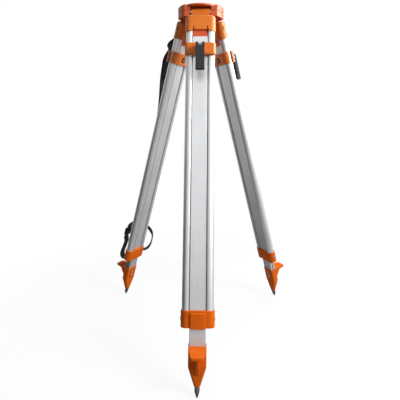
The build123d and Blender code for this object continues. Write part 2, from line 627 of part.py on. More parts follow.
def foot():
    """Foot casting: socket, taper to the spike and a step-on pedal with a rib."""
    section = RectangleRounded(FOOT_WIDTH, FOOT_DEPTH, FOOT_CORNER)
    nose = Pos(0, FOOT_SET_BACK) * RectangleRounded(FOOT_NOSE, FOOT_NOSE, FOOT_NOSE / 2 - SEAT_FIT)
    shoe = prism(section, FOOT_START, FOOT_TAPER_START)
    shoe += loft([Pos(0, 0, -FOOT_TAPER_START) * section, Pos(0, 0, -FOOT_END) * nose])
    root = -FOOT_START + PEDAL_RISE
    tread = Polyline([
        (FOOT_DEPTH / 2 - FOOT_CORNER, root), (FOOT_DEPTH / 2, root), (PEDAL_OUT, root - PEDAL_SLOPE),
        (PEDAL_OUT, root - PEDAL_SLOPE - PEDAL_THICK),
        (FOOT_DEPTH / 2 - FOOT_CORNER, root - PEDAL_THICK - PEDAL_SLOPE / 2)], close=True)
    plan = make_face(Polyline([
        (-PEDAL_WIDTH / 2, 0), (-PEDAL_WIDTH / 2, -FOOT_DEPTH / 2), (-PEDAL_TIP_WIDTH / 2, -PEDAL_OUT),
        (PEDAL_TIP_WIDTH / 2, -PEDAL_OUT), (PEDAL_WIDTH / 2, -FOOT_DEPTH / 2), (PEDAL_WIDTH / 2, 0)],
        close=True))
    plan = fillet(plan.vertices().sort_by(Axis.Y)[:2], FOOT_CORNER)
    pedal = slab(make_face(tread), FOOT_WIDTH) & prism(plan, FOOT_START - PEDAL_RISE, FOOT_END)
    rib = Polyline([
        (0, root - PEDAL_SLOPE), (PEDAL_OUT - PEDAL_THICK, root - PEDAL_SLOPE),
        (PEDAL_OUT - PEDAL_THICK, root - PEDAL_SLOPE - PEDAL_THICK), (0, root - PEDAL_RIB_DROP)], close=True)
    shoe += pedal + slab(make_face(rib), PEDAL_RIB)
    back = section & (Pos(0, FOOT_DEPTH / 2) * Rectangle(FOOT_WIDTH, FOOT_DEPTH))
    shoe += prism(back, FOOT_START - FOOT_BACK_RISE, FOOT_START)
    socket = RectangleRounded(INNER_WIDTH + 2 * SEAT_FIT, INNER_DEPTH + 2 * SEAT_FIT, INNER_CORNER)
    shoe -= prism(socket, FOOT_START - FOOT_BACK_RISE, FOOT_START + FOOT_SOCKET)
    bore = Pos(0, FOOT_SET_BACK) * Circle(SPIKE_STUB / 2 + SEAT_FIT)
    shoe -= prism(bore, FOOT_END - SPIKE_STUB_LENGTH, FOOT_END)
    for along in foot_screw_spots():
        shoe -= foot_screw(along, SEAT_FIT)
    return shoe


def foot_screws():
    """The two screws of a foot."""
    return Compound([foot_screw(along) for along in foot_screw_spots()])


def spike():
    """Turned steel point with a stub that sits in the foot."""
    end = FOOT_END
    profile = make_face(Polyline([
        (0, -end + SPIKE_STUB_LENGTH), (SPIKE_STUB / 2, -end + SPIKE_STUB_LENGTH), (SPIKE_STUB / 2, -end),
        (SPIKE_DIAMETER / 2, -end), (SPIKE_DIAMETER / 2, -end - SPIKE_SHOULDER),
        (SPIKE_TIP, -LEG_LENGTH), (0, -LEG_LENGTH)], close=True))
    return Pos(0, FOOT_SET_BACK, 0) * revolve(Plane.XZ * profile, Axis.Z)


# Carrying strap on the left leg

def strap_route():
    """Strap in the leg's side view (out, -along): a fold, a bow over the lever, a flat run, a lower bow."""
    high = LEVER_OUT + STRAP_BOW
    low = LEVER_OUT + STRAP_LOW_BOW
    lever_mid = (CAM_ALONG + LEVER_END) / 2
    return [
        (UPPER_LOOP_OUT + LOOP_REACH, -UPPER_LOOP_ALONG),
        (STRAP_FOLD, -UPPER_LOOP_ALONG - FOLD_DROP),
        (STRAP_NECK, -UPPER_LOOP_ALONG - FOLD_DROP - NECK_DROP),
        (high, -CAM_ALONG),
        (high - STRAP_THICK, -lever_mid),
        (LEVER_OUT + STRAP_SLACK, -LEVER_END),
        (STRAP_RUN + STRAP_SHOULDER, -LEVER_END - STRAP_STEP),
        (STRAP_RUN + STRAP_THICK, -LEVER_END - 3 * STRAP_STEP),
        (STRAP_RUN, -LOWER_BOW_ALONG + LOWER_RISE),
        (low, -LOWER_BOW_ALONG),
        (low, -SLIDER_ALONG - SLIDER_HEIGHT / 2 - WIRE),
        (low + STRAP_BELLY, -COLLAR_END - WIRE),
        (low, -COLLAR_END - LOWER_SAG),
        (LOWER_LOOP_OUT + STRAP_SHOULDER, -COLLAR_END - LOWER_SAG),
        (LOWER_LOOP_OUT + LOOP_REACH, -LOWER_LOOP_ALONG),
    ]


def rounded(points, share=0.45):
    """A polyline whose corners are arcs that take up this share of the shorter run."""
    radii = []
    for before, corner, after in zip(points, points[1:], points[2:]):
        first = Vector(corner) - Vector(before)
        second = Vector(after) - Vector(corner)
        half_turn = radians(first.get_angle(second)) / 2
        radii.append(share * min(first.length, second.length) / tan(half_turn))
    return FilletPolyline(*points, radius=radii)


def strap():
    """Webbing that follows the strap's route."""
    return slab(trace(rounded(strap_route()), STRAP_THICK), STRAP_WIDTH)


def strap_slider():
    """Flat buckle on the outside of the strap's lower bow."""
    frame = RectangleRounded(SLIDER_WIDTH, SLIDER_HEIGHT, SLIDER_THICK)
    for side in (-1, 1):
        frame -= Pos(0, side * SLIDER_SLOT) * SlotOverall(SLIDER_WIDTH - SLIDER_SLOT, SLIDER_SLOT)
    return Pos(0, -SLIDER_OUT, -SLIDER_ALONG) * extrude(FACE * frame, SLIDER_THICK)


def strap_tail():
    """Loose end of the strap: a loop drawn in face view (across, -along) and turned inwards."""
    far = -TAIL_REACH
    route = [
        (0, -SLIDER_ALONG),
        (far / 3, -SLIDER_ALONG + TAIL_RISE),
        (far * 2 / 3, -SLIDER_ALONG + TAIL_RISE - TAIL_CURL),
        (far, -SLIDER_ALONG - TAIL_RISE),
        (far, -SLIDER_ALONG - TAIL_DROP + 4 * TAIL_CURL),
        (far + 3 * TAIL_CURL, -SLIDER_ALONG - TAIL_DROP),
        (far / 2, -SLIDER_ALONG - TAIL_DROP),
    ]
    ribbon = extrude(FACE * trace(rounded(route), STRAP_THICK), -TAIL_WIDTH)
    return Pos(-SLIDER_WIDTH / 2 - TAIL_ROOT, -SLIDER_OUT - SLIDER_THICK, 0) * Rot(0, 0, -TAIL_TURN) * ribbon


def wire_loop(points):
    """Bent wire through a few points, as a swept round bar."""
    path = FilletPolyline(*points, radius=WIRE)
    return sweep(Plane(origin=points[0], z_dir=path % 0) * Circle(WIRE / 2), path)


def upper_strap_loop():
    """Wire loop on the outside of the leg top."""
    half = UPPER_LOOP_SPAN / 2
    root = -LEG_TOP_DEPTH / 2
    ends = [(-half, root), (-half, -UPPER_LOOP_OUT), (half, -UPPER_LOOP_OUT), (half, root)]
    return wire_loop([(x, y, -UPPER_LOOP_ALONG) for x, y in ends])


def lower_strap_loop():
    """Wire loop under the collar's raised panel."""
    half = LOWER_LOOP_SPAN / 2
    root = -COLLAR_END - COLLAR_PANEL_DROP
    ends = [(-half, root), (-half, -LOWER_LOOP_ALONG), (half, -LOWER_LOOP_ALONG), (half, root)]
    return wire_loop([(x, -LOWER_LOOP_OUT, z) for x, z in ends])


HEAD_PIECES = {
    "head_plate": head_plate(),
    "hinge_ring": hinge_ring(),
    "hinge_pins": hinge_pins(),
    "head_screws": head_screws(),
    "screw_arm": screw_arm(),
    "arm_pivot": arm_pivot(),
    "screw_carriage": screw_carriage(),
    "carriage_clip": carriage_clip(),
    "fixing_screw": fixing_screw(),
    "screw_knob": screw_knob(),
}
LEG_PIECES = {
    "leg_top": leg_top(),
    "rail_left": rail(-1),
    "rail_right": rail(1),
    "rail_screws": rail_screws(),
    "collar": collar(),
    "inner_leg": inner_leg(),
    "leg_plug": leg_plug(),
    "clamp_front": clamp_jaw(-1, JAW_FRONT),
    "clamp_rear": clamp_jaw(1, JAW_BACK),
    "clamp_bolt": clamp_bolt(),
    "lever": lever(),
    "lever_pin": lever_pin(),
    "foot": foot(),
    "foot_screws": foot_screws(),
    "spike": spike(),
}
STRAP_PIECES = {
    "strap": strap(),
    "strap_slider": strap_slider(),
    "strap_tail": strap_tail(),
    "upper_strap_loop": upper_strap_loop(),
    "lower_strap_loop": lower_strap_loop(),
}

os.makedirs("parts", exist_ok=True)
for name, piece in HEAD_PIECES.items():
    export_step(piece, f"parts/{name}.step")
for leg in LEGS:
    for name, piece in LEG_PIECES.items():
        export_step(leg_at(piece, leg), f"parts/{leg}_{name}.step")
for name, piece in STRAP_PIECES.items():
    export_step(leg_at(piece, "left"), f"parts/{name}.step")
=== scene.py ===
# %% [markdown]
# # A level tripod
# A surveyor's tripod carries a level on a flat head. Three aluminium legs hinge under the
# head, slide to length and are held by cam levers, and a webbing strap runs down one leg.
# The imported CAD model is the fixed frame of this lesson. Blender adds what a solid model
# leaves plain: finishes, woven webbing, stitches, a cut thread and screw heads.

# %% Load the frame
import json
import bmesh
import bpy
import numpy as np
from mathutils import Matrix, Vector

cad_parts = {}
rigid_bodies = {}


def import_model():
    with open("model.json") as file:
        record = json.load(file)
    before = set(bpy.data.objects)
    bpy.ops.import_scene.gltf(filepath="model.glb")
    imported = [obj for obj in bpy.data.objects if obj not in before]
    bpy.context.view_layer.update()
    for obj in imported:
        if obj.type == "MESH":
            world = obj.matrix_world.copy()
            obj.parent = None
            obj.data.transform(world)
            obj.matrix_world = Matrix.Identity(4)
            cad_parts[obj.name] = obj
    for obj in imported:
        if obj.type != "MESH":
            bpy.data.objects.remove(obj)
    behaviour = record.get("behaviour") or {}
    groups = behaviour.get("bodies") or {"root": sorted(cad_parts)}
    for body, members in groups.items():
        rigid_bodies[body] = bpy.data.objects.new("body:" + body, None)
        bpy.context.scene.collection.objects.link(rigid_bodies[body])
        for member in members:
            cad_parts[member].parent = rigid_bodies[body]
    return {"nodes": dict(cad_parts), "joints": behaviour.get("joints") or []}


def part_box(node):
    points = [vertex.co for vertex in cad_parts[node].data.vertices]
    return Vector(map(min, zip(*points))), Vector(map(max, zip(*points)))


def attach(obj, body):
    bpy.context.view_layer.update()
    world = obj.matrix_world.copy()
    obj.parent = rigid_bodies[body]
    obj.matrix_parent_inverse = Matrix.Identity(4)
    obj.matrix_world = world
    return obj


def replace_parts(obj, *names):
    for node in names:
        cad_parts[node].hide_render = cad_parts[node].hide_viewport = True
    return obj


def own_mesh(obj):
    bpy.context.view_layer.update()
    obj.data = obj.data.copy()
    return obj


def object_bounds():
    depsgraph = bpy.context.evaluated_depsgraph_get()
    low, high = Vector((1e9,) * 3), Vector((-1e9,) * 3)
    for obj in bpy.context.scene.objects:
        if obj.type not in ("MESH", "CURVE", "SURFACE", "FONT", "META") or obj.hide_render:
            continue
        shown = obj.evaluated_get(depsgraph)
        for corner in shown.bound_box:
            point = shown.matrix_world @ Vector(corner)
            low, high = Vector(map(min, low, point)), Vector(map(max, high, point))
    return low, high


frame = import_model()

cad_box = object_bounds()
nodes = frame["nodes"]
joints = {joint["name"]: joint for joint in frame["joints"]}
LEGS = ("front", "right", "left")
print(len(nodes), "CAD nodes,", len(joints), "joints, box", [tuple(corner) for corner in cad_box])

# %% [markdown]
# ## Working along a tilted leg
# Every leg leans outwards and points another way, so writing its pieces in world
# coordinates would be guesswork. A leg has its own three directions instead: across it,
# out of its face and down along it. They could be typed in as angles, but the joints of
# the CAD model already hold them, so they are read from there and can't disagree with it.

# %% Leg coordinates
def leg_axes(leg):
    """Hinge point of a leg, and its unit vectors across, out and down as three rows."""
    spread, slide = joints[f"{leg}_spread"], joints[f"{leg}_slide"]
    across, down = -np.array(spread["axis"]), np.array(slide["axis"])
    return np.array(spread["pos_m"]), np.array([across, np.cross(down, across), down])


def in_world(leg, places):
    """Places (across, out, along) in millimetres to metres: the hinge plus each distance times its axis."""
    hinge, axes = leg_axes(leg)
    return hinge + np.asarray(places, float) / 1000 @ axes


def reach(leg, node):
    """Lowest and highest (across, out, along) of a CAD node in millimetres, from all its vertices."""
    mesh = nodes[node].data
    points = np.empty(3 * len(mesh.vertices), np.float32)
    mesh.vertices.foreach_get("co", points)
    hinge, axes = leg_axes(leg)
    places = (points.reshape(-1, 3) - hinge) @ axes.T * 1000
    return places.min(0), places.max(0)


foot_low, foot_high = reach("front", "front_foot")
print("front foot, across out along:", foot_low.round(1).tolist(), "to", foot_high.round(1).tolist())

# %% [markdown]
# ## Shader nodes in one line each
# A material is a small graph. Building it node by node takes many lines of clicking code,
# so one function adds a node, sets it and links it. Colours are written as sRGB hex
# values, as a painter would pick them on a screen, and one function makes them linear,
# because light is added up in linear values.

# %% Colour and node helpers
def srgb(code):
    """Linear colour of a hex value: the sRGB curve, straight near black and a power of 2.4 above."""
    value = np.array([int(code[place:place + 2], 16) for place in (1, 3, 5)]) / 255
    linear = np.where(value <= 0.04045, value / 12.92, ((value + 0.055) / 1.055) ** 2.4)
    return (*linear.tolist(), 1.0)


def add(tree, kind, inputs=None, **settings):
    """Adds a shader node; an input is a value, or the output socket that it is linked to."""
    node = tree.nodes.new("ShaderNode" + kind)
    for name, value in settings.items():
        setattr(node, name, value)
    for name, value in (inputs or {}).items():
        if isinstance(value, bpy.types.NodeSocket):
            tree.links.new(value, node.inputs[name])
        else:
            node.inputs[name].default_value = value
    return node


def new_finish(name):
    """An empty material with its output node, ready for a graph."""
    material = bpy.data.materials.new(name)
    material.use_nodes = True
    material.node_tree.nodes.clear()
    return material, material.node_tree, add(material.node_tree, "OutputMaterial")


print("orange in linear light:", np.round(srgb("#DE7426"), 3).tolist())

# %% [markdown]
# ## Powder-coated castings
# Head, hinge blocks, clamps, collars and feet are aluminium die castings with a baked
# powder coat. The coat flows to a soft skin with a faint orange-peel ripple about two
# millimetres wide, pulls thin over edges, and takes small scuffs there. A flat orange
# would look like clay. Here a noise varies the tone over half a hand's width, a finer
# noise gives the ripple, and a Bevel node finds the edges, where the coat is lighter.
# The head is redder than the castings. Collars and feet work in dirt, so their coat has
# lost its gloss, and their orange is deeper and redder than the upper castings' as painted
# shade, for the lower parts of the legs standing darker in the light.

# %% Powder coat
PEEL_MM, PEEL_DEEP_MM = 2.2, 0.2
TONE_MM, SCUFF_MM, EDGE_MM = 55.0, 9.0, 1.1
EDGE_STARTS, EDGE_FULL, EDGE_SHARE = 0.99, 0.80, 0.55
RUBBED_SMOOTH, SCUFFED_ROUGH = -0.05, 0.09


def powder_coat(name, base, deep, edge, roughness, gloss):
    """Baked powder coat: two tones by noise, a lighter edge where bevelled and true normals part."""
    material, tree, output = new_finish(name)
    place = add(tree, "TexCoord").outputs["Object"]
    tone = add(tree, "TexNoise", {"Vector": place, "Scale": 1000 / TONE_MM, "Detail": 3.0})
    mixed = add(tree, "Mix", {"Factor": tone.outputs["Fac"], "A": srgb(deep), "B": srgb(base)},
                data_type="RGBA")
    rounded = add(tree, "Bevel", {"Radius": EDGE_MM / 1000}, samples=4)
    true = add(tree, "NewGeometry").outputs["Normal"]
    facing = add(tree, "VectorMath", {0: rounded.outputs["Normal"], 1: true}, operation="DOT_PRODUCT")
    scuff = add(tree, "TexNoise", {"Vector": place, "Scale": 1000 / SCUFF_MM, "Detail": 4.0})
    worn = add(tree, "MapRange", {"Value": facing.outputs["Value"], "From Min": EDGE_STARTS,
                                  "From Max": EDGE_FULL, "To Min": 0.0, "To Max": EDGE_SHARE})
    worn = add(tree, "Math", {0: worn.outputs["Result"], 1: scuff.outputs["Fac"]}, operation="MULTIPLY")
    coat = add(tree, "Mix", {"Factor": worn.outputs["Value"], "A": mixed.outputs["Result"],
                             "B": srgb(edge)}, data_type="RGBA")
    dull = add(tree, "MapRange", {"Value": scuff.outputs["Fac"], "To Min": roughness + RUBBED_SMOOTH,
                                  "To Max": roughness + SCUFFED_ROUGH})
    peel = add(tree, "TexNoise", {"Vector": place, "Scale": 1000 / PEEL_MM, "Detail": 1.0})
    bump = add(tree, "Bump", {"Height": peel.outputs["Fac"], "Strength": 0.12,
                              "Distance": PEEL_DEEP_MM / 1000, "Normal": rounded.outputs["Normal"]})
    shader = add(tree, "BsdfPrincipled", {"Base Color": coat.outputs["Result"],
                                          "Roughness": dull.outputs["Result"],
                                          "Normal": bump.outputs["Normal"], "Specular IOR Level": gloss})
    tree.links.new(shader.outputs["BSDF"], output.inputs["Surface"])
    return material


orange_coat = powder_coat("powder_coated_casting_orange", "#E27A20", "#D26812", "#F09A50", 0.38, 0.40)
# painted shade: collars and feet get a deeper, redder orange than the upper castings
low_coat = powder_coat("powder_coated_casting_dull_painted_shade", "#E46A08", "#D05802", "#EE8E40", 0.58, 0.10)
red_coat = powder_coat("powder_coated_casting_red", "#DE6A34", "#CC5622", "#EE9068", 0.40, 0.40)
print("coats:", orange_coat.name, low_coat.name, red_coat.name)

# %% [markdown]
# ## Anodised extruded tube
# Rails and inner legs are aluminium pressed through a die and anodised matt. The die
# leaves fine lines that run the whole length, so the surface is rougher across than
# along and a highlight smears sideways. A Mapping node turns the noise to the leg and
# stretches it along, which needs one material for each leg because each leans its own way.
# The inner leg slides along the rails, and beside the open joint both carry a dull dark line
# of painted shade, for the shade that falls into the joint. A table gives its width past the
# joint, for each leg and for each side across it.

# %% Anodised aluminium
LINE_MM, RUN_MM, CLOUD_MM, LINE_DEEP_MM = 1.6, 420.0, 120.0, 0.2
# painted shade: width past the joint, soft edge, tone and roughness of the dark line beside each joint
JOINT_SHADE_MM = {"front": {-1: 0.0, 1: 0.0}, "right": {}, "left": {1: 3.0}}
JOINT_MM, JOINT_SHADE_EDGE_MM = 2.5, 0.5
TUBE_DARK, TUBE_LIGHT, JOINT_SHADE_TONE = "#CECFD1", "#E2E3E4", "#949596"
SMOOTH_LINE, ROUGH_LINE, JOINT_SHADE_ROUGH, METAL_SHARE = 0.38, 0.48, 0.6, 0.78


def anodised_tube(leg):
    """Matt anodised extrusion: noise drawn out along the leg, and painted shade as a dark line beside the
    joints.
    """
    material, tree, output = new_finish(f"anodised_extruded_aluminium_{leg}")
    turn = Matrix(leg_axes(leg)[1].tolist()).to_euler()
    place = add(tree, "TexCoord").outputs["Object"]
    leg_place = add(tree, "Mapping", {"Vector": place, "Rotation": turn})
    drawn = add(tree, "Mapping", {"Vector": leg_place.outputs["Vector"],
                                  "Scale": (1000 / LINE_MM, 1000 / LINE_MM, 1000 / RUN_MM)})
    lines = add(tree, "TexNoise", {"Vector": drawn.outputs["Vector"], "Scale": 1.0, "Detail": 3.0})
    cloud = add(tree, "TexNoise", {"Vector": place, "Scale": 1000 / CLOUD_MM, "Detail": 2.0})
    both = add(tree, "Math", {0: lines.outputs["Fac"], 1: cloud.outputs["Fac"]}, operation="ADD")
    colour = add(tree, "MapRange", {"Value": both.outputs["Value"], "From Min": 0.6, "From Max": 1.4})
    colour = add(tree, "Mix", {"Factor": colour.outputs["Result"], "A": srgb(TUBE_DARK),
                               "B": srgb(TUBE_LIGHT)}, data_type="RGBA")
    rough = add(tree, "MapRange", {"Value": lines.outputs["Fac"], "From Min": 0.25, "From Max": 0.75,
                                   "To Min": SMOOTH_LINE, "To Max": ROUGH_LINE})
    middle = reach(leg, f"{leg}_inner_leg")[1][0] + JOINT_MM / 2
    side_place = add(tree, "SeparateXYZ", {0: leg_place.outputs["Vector"]}).outputs["X"]
    # painted shade: a dark, dull line beside the joint on each side listed for the leg
    for side, width in JOINT_SHADE_MM[leg].items():
        dark_to = JOINT_MM / 2 + width
        off = add(tree, "Math", {0: side_place, 1: -side * middle / 1000}, operation="ADD")
        off = add(tree, "Math", {0: off.outputs["Value"]}, operation="ABSOLUTE")
        joint_shade = add(tree, "MapRange", {"Value": off.outputs["Value"], "From Min": dark_to / 1000,
                                     "From Max": (dark_to - JOINT_SHADE_EDGE_MM) / 1000})
        colour = add(tree, "Mix", {"Factor": joint_shade.outputs["Result"], "A": colour.outputs["Result"],
                                   "B": srgb(JOINT_SHADE_TONE)}, data_type="RGBA")
        rough = add(tree, "MapRange", {"Value": joint_shade.outputs["Result"], "To Min": rough.outputs["Result"],
                                       "To Max": JOINT_SHADE_ROUGH})
    bump = add(tree, "Bump", {"Height": lines.outputs["Fac"], "Strength": 0.10,
                              "Distance": LINE_DEEP_MM / 1000})
    shader = add(tree, "BsdfPrincipled", {"Base Color": colour.outputs["Result"], "Metallic": METAL_SHARE,
                                          "Roughness": rough.outputs["Result"],
                                          "Normal": bump.outputs["Normal"]})
    tree.links.new(shader.outputs["BSDF"], output.inputs["Surface"])
    return material


tubes = {leg: anodised_tube(leg) for leg in LEGS}
print("tubes:", [tube.name for tube in tubes.values()])

# %% [markdown]
# ## Small metals
# Hinge pins, wire loops, the screw arm, foot screws and the bolts' ends are zinc-plated
# steel. Clamp bolts, lever pins and collar screws are plain steel, the screws in the hinge
# blocks are passivated yellow, head screws and nuts are blackened, the spikes are turned
# steel that has gone dark, and the fixing screw is brass. All are metals, so the colour
# tints the reflection and the roughness does the rest. Blotches a few millimetres wide
# keep them from looking like chrome.

# %% Steels and brass
def small_metal(name, light, dark, blotch_mm, smooth, rough):
    """Metal with blotches: one noise sets both tint and roughness."""
    material, tree, output = new_finish(name)
    place = add(tree, "TexCoord").outputs["Object"]
    blotch = add(tree, "TexNoise", {"Vector": place, "Scale": 1000 / blotch_mm, "Detail": 4.0})
    tint = add(tree, "Mix", {"Factor": blotch.outputs["Fac"], "A": srgb(dark), "B": srgb(light)},
               data_type="RGBA")
    dull = add(tree, "MapRange", {"Value": blotch.outputs["Fac"], "From Min": 0.3, "From Max": 0.7,
                                  "To Min": rough, "To Max": smooth})
    shader = add(tree, "BsdfPrincipled", {"Base Color": tint.outputs["Result"], "Metallic": 1.0,
                                          "Roughness": dull.outputs["Result"]})
    tree.links.new(shader.outputs["BSDF"], output.inputs["Surface"])
    return material


zinc_steel = small_metal("zinc_plated_steel", "#D6D7D4", "#A5A7A8", 6.0, 0.28, 0.42)
plain_steel = small_metal("oiled_plain_steel", "#94918C", "#625F5B", 4.0, 0.40, 0.52)
oxide_steel = small_metal("black_oxide_steel", "#5B5650", "#34302C", 4.0, 0.30, 0.45)
yellow_steel = small_metal("yellow_passivated_steel", "#A4783E", "#6A4A26", 4.0, 0.32, 0.48)
dark_steel = small_metal("turned_dark_steel", "#8A8682", "#5A5653", 5.0, 0.38, 0.55)
brass = small_metal("turned_brass", "#D9B36A", "#B68A3F", 8.0, 0.25, 0.40)
metals = (zinc_steel, plain_steel, oxide_steel, yellow_steel, dark_steel, brass)
print("metals:", [metal.name for metal in metals])

# %% [markdown]
# ## Moulded plastics
# The cam levers are glass-filled nylon, dark and slightly chalky. The plug in each inner
# leg and the hand knob are ABS in a redder orange than the castings. Carriage and strap
# slider are black acetal. A mould's spark-eroded skin is a fine grain, drawn here about
# one millimetre wide, which is coarser than it is, so that it shows.

# %% Nylon, ABS and acetal
GRAIN_MM, GRAIN_DEEP_MM, PATCH_MM, SOFT_EDGE_MM = 1.0, 0.2, 30.0, 0.6
ROUGH_SWING = 0.05


def moulded(name, light, dark, roughness):
    """Moulded plastic: a slow change of tone, a fine grain as bump and softened edges."""
    material, tree, output = new_finish(name)
    place = add(tree, "TexCoord").outputs["Object"]
    tone = add(tree, "TexNoise", {"Vector": place, "Scale": 1000 / PATCH_MM, "Detail": 2.0})
    colour = add(tree, "Mix", {"Factor": tone.outputs["Fac"], "A": srgb(dark), "B": srgb(light)},
                 data_type="RGBA")
    grain = add(tree, "TexVoronoi", {"Vector": place, "Scale": 1000 / GRAIN_MM})
    rounded = add(tree, "Bevel", {"Radius": SOFT_EDGE_MM / 1000}, samples=4)
    bump = add(tree, "Bump", {"Height": grain.outputs["Distance"], "Strength": 0.15,
                              "Distance": GRAIN_DEEP_MM / 1000, "Normal": rounded.outputs["Normal"]})
    rough = add(tree, "MapRange", {"Value": tone.outputs["Fac"], "To Min": roughness - ROUGH_SWING,
                                   "To Max": roughness + ROUGH_SWING})
    shader = add(tree, "BsdfPrincipled", {"Base Color": colour.outputs["Result"],
                                          "Roughness": rough.outputs["Result"],
                                          "Normal": bump.outputs["Normal"], "Specular IOR Level": 0.25})
    tree.links.new(shader.outputs["BSDF"], output.inputs["Surface"])
    return material


nylon = moulded("glass_filled_nylon", "#2B2C2D", "#202121", 0.60)
abs_red = moulded("moulded_abs_red", "#E26844", "#D45634", 0.48)
acetal = moulded("black_acetal", "#2A2A2C", "#1B1B1D", 0.45)
print("plastics:", nylon.name, abs_red.name, acetal.name)

# %% [markdown]
# ## Dressing the CAD pieces
# The solids already have the right shape, so they only change their material. Each name
# is checked against the frame by looking it up, and every node gets exactly one finish.

# %% Give every CAD node its finish
dressed = {}


def dress(material, *names):
    """Puts one material in every slot of the named CAD nodes."""
    for name in names:
        for slot in nodes[name].material_slots:
            slot.material = material
        dressed[name] = material.name


dress(red_coat, "head_plate", "hinge_ring")
dress(zinc_steel, "hinge_pins", "screw_arm", "arm_pivot", "carriage_clip")
dress(zinc_steel, "upper_strap_loop", "lower_strap_loop")
dress(oxide_steel, "head_screws")
dress(acetal, "screw_carriage", "strap_slider", "strap", "strap_tail")
dress(brass, "fixing_screw")
dress(abs_red, "screw_knob")
for leg in LEGS:
    dress(orange_coat, *(f"{leg}_{piece}" for piece in ("leg_top", "clamp_front", "clamp_rear")))
    dress(low_coat, f"{leg}_collar", f"{leg}_foot")
    dress(tubes[leg], *(f"{leg}_{piece}" for piece in ("rail_left", "rail_right", "inner_leg")))
    dress(yellow_steel, f"{leg}_rail_screws")
    dress(zinc_steel, f"{leg}_foot_screws")
    dress(plain_steel, f"{leg}_clamp_bolt", f"{leg}_lever_pin")
    dress(abs_red, f"{leg}_leg_plug")
    dress(nylon, f"{leg}_lever")
    dress(dark_steel, f"{leg}_spike")
print(len(dressed), "nodes dressed, left over:", sorted(set(nodes) - set(dressed)))

# %% [markdown]
# ## From a grid of points to a mesh
# New pieces are worked out as whole arrays: a grid of points in rows and columns, where
# neighbours become faces. A row drawn together to one point closes an end. The same
# function takes many copies at once, which suits screws and stitches. Points that
# coincide are merged, so that the caps are closed and the normals can be turned outwards.

# %% Surface helper
MERGE_M = 1e-7


def surface(name, grid, material, flat=None, sharp=40.0):
    """Mesh of grids [copy, row, column, xyz] whose columns close to rings; flat holds UV in metres."""
    grid = np.asarray(grid, float)
    index = np.arange(grid[..., 0].size).reshape(grid.shape[:3])
    beside = np.roll(index, -1, 2)
    faces = np.stack([index[:, :-1], beside[:, :-1], beside[:, 1:], index[:, 1:]], -1).reshape(-1, 4)
    mesh = bpy.data.meshes.new(name)
    mesh.from_pydata(grid.reshape(-1, 3).tolist(), [], faces.tolist())
    if flat is not None:
        layer = mesh.uv_layers.new(name="flat")
        layer.data.foreach_set("uv", np.asarray(flat, np.float32).reshape(-1, 2)[faces].ravel())
    work = bmesh.new()
    work.from_mesh(mesh)
    bmesh.ops.remove_doubles(work, verts=work.verts, dist=MERGE_M)
    bmesh.ops.recalc_face_normals(work, faces=work.faces)
    work.to_mesh(mesh)
    work.free()
    mesh.shade_smooth()
    mesh.set_sharp_from_angle(angle=np.radians(sharp))
    mesh.materials.append(material)
    piece = bpy.data.objects.new(name, mesh)
    bpy.context.scene.collection.objects.link(piece)
    print(name, len(mesh.vertices), "points")
    return piece


def turned(radii, heights, columns):
    """Lathe shape [row, column, xyz]: a radius and a height for each row, carried once round the z axis."""
    angle = np.linspace(0, 2 * np.pi, columns, endpoint=False)
    radii, heights = np.broadcast_arrays(np.atleast_2d(radii).T, np.atleast_2d(heights).T)
    ones = np.ones(columns)
    return np.stack([radii * np.cos(angle), radii * np.sin(angle), heights * ones], -1)


print("a ring of two rows and eight columns:", turned([1.0, 1.0], [0.0, 1.0], 8).shape)

# %% [markdown]
# ## Screw heads with a cross recess
# Pan-head screws hold the rails and the feet. In CAD they are plain discs. A screw is a
# lathe shape with one change: near the middle the dome is pressed down wherever the point
# lies inside a cross, so the recess is real and catches a shadow. One grid serves all
# copies, and each copy is turned so that its axis points out of its casting.

# %% Pan-head screw
DOME_ROWS, DOME_ENDS, RIM_ROWS = 15, 0.92, (0.98, 1.0, 1.0)
RIM_SHARE, TIP_SHARE = 0.55, 0.2
CROSS_HALF, CROSS_REACH, CROSS_DEEP = 0.11, 0.29, 0.6
NO_SCREW_AXIS = (0.31, 0.62, 0.72)


def pan_screw(head_mm, thick_mm, shank_mm, length_mm, columns=40):
    """Dome of height 1 - r^4, less a cross where the smaller of |x| and |y| is small, then the shank."""
    radius = head_mm / 2
    share = np.concatenate([np.linspace(0, DOME_ENDS, DOME_ROWS), RIM_ROWS])
    rise = thick_mm * (RIM_SHARE + (1 - RIM_SHARE) * (1 - share ** 4))
    rise[-1] = 0.0
    head = turned(share * radius, rise, columns)
    x, y = np.abs(head[..., 0]), np.abs(head[..., 1])
    inside = (np.minimum(x, y) < CROSS_HALF * head_mm) & (np.maximum(x, y) < CROSS_REACH * head_mm)
    slope = 1 - np.maximum(x, y) / (2 * CROSS_REACH * head_mm)
    head[..., 2] -= inside * CROSS_DEEP * thick_mm * slope
    tip = -length_mm - TIP_SHARE * shank_mm
    shank = turned([shank_mm / 2, shank_mm / 2, 0.0], [0.0, -length_mm, tip], columns)
    return np.concatenate([head, shank])


def set_along(shape, spot, axis):
    """Copy of a shape in metres at a spot: z on the axis, x square to it and to a slope no screw has."""
    axis = np.asarray(axis, float)
    first = np.cross(axis, NO_SCREW_AXIS)
    first /= np.linalg.norm(first)
    return spot + shape / 1000 @ np.array([first, np.cross(axis, first), axis])


SMALL_HEAD_MM, SMALL_THICK_MM, SMALL_SHANK_MM, SMALL_LENGTH_MM = 9.0, 2.4, 4.0, 4.0
small_screw = pan_screw(SMALL_HEAD_MM, SMALL_THICK_MM, SMALL_SHANK_MM, SMALL_LENGTH_MM)
print("one screw has rows and columns", small_screw.shape[:2])

# %% [markdown]
# The screws' places are read from the discs that they replace: the box of a leg's discs
# gives the face that they stand on and the two rows that they lie in.

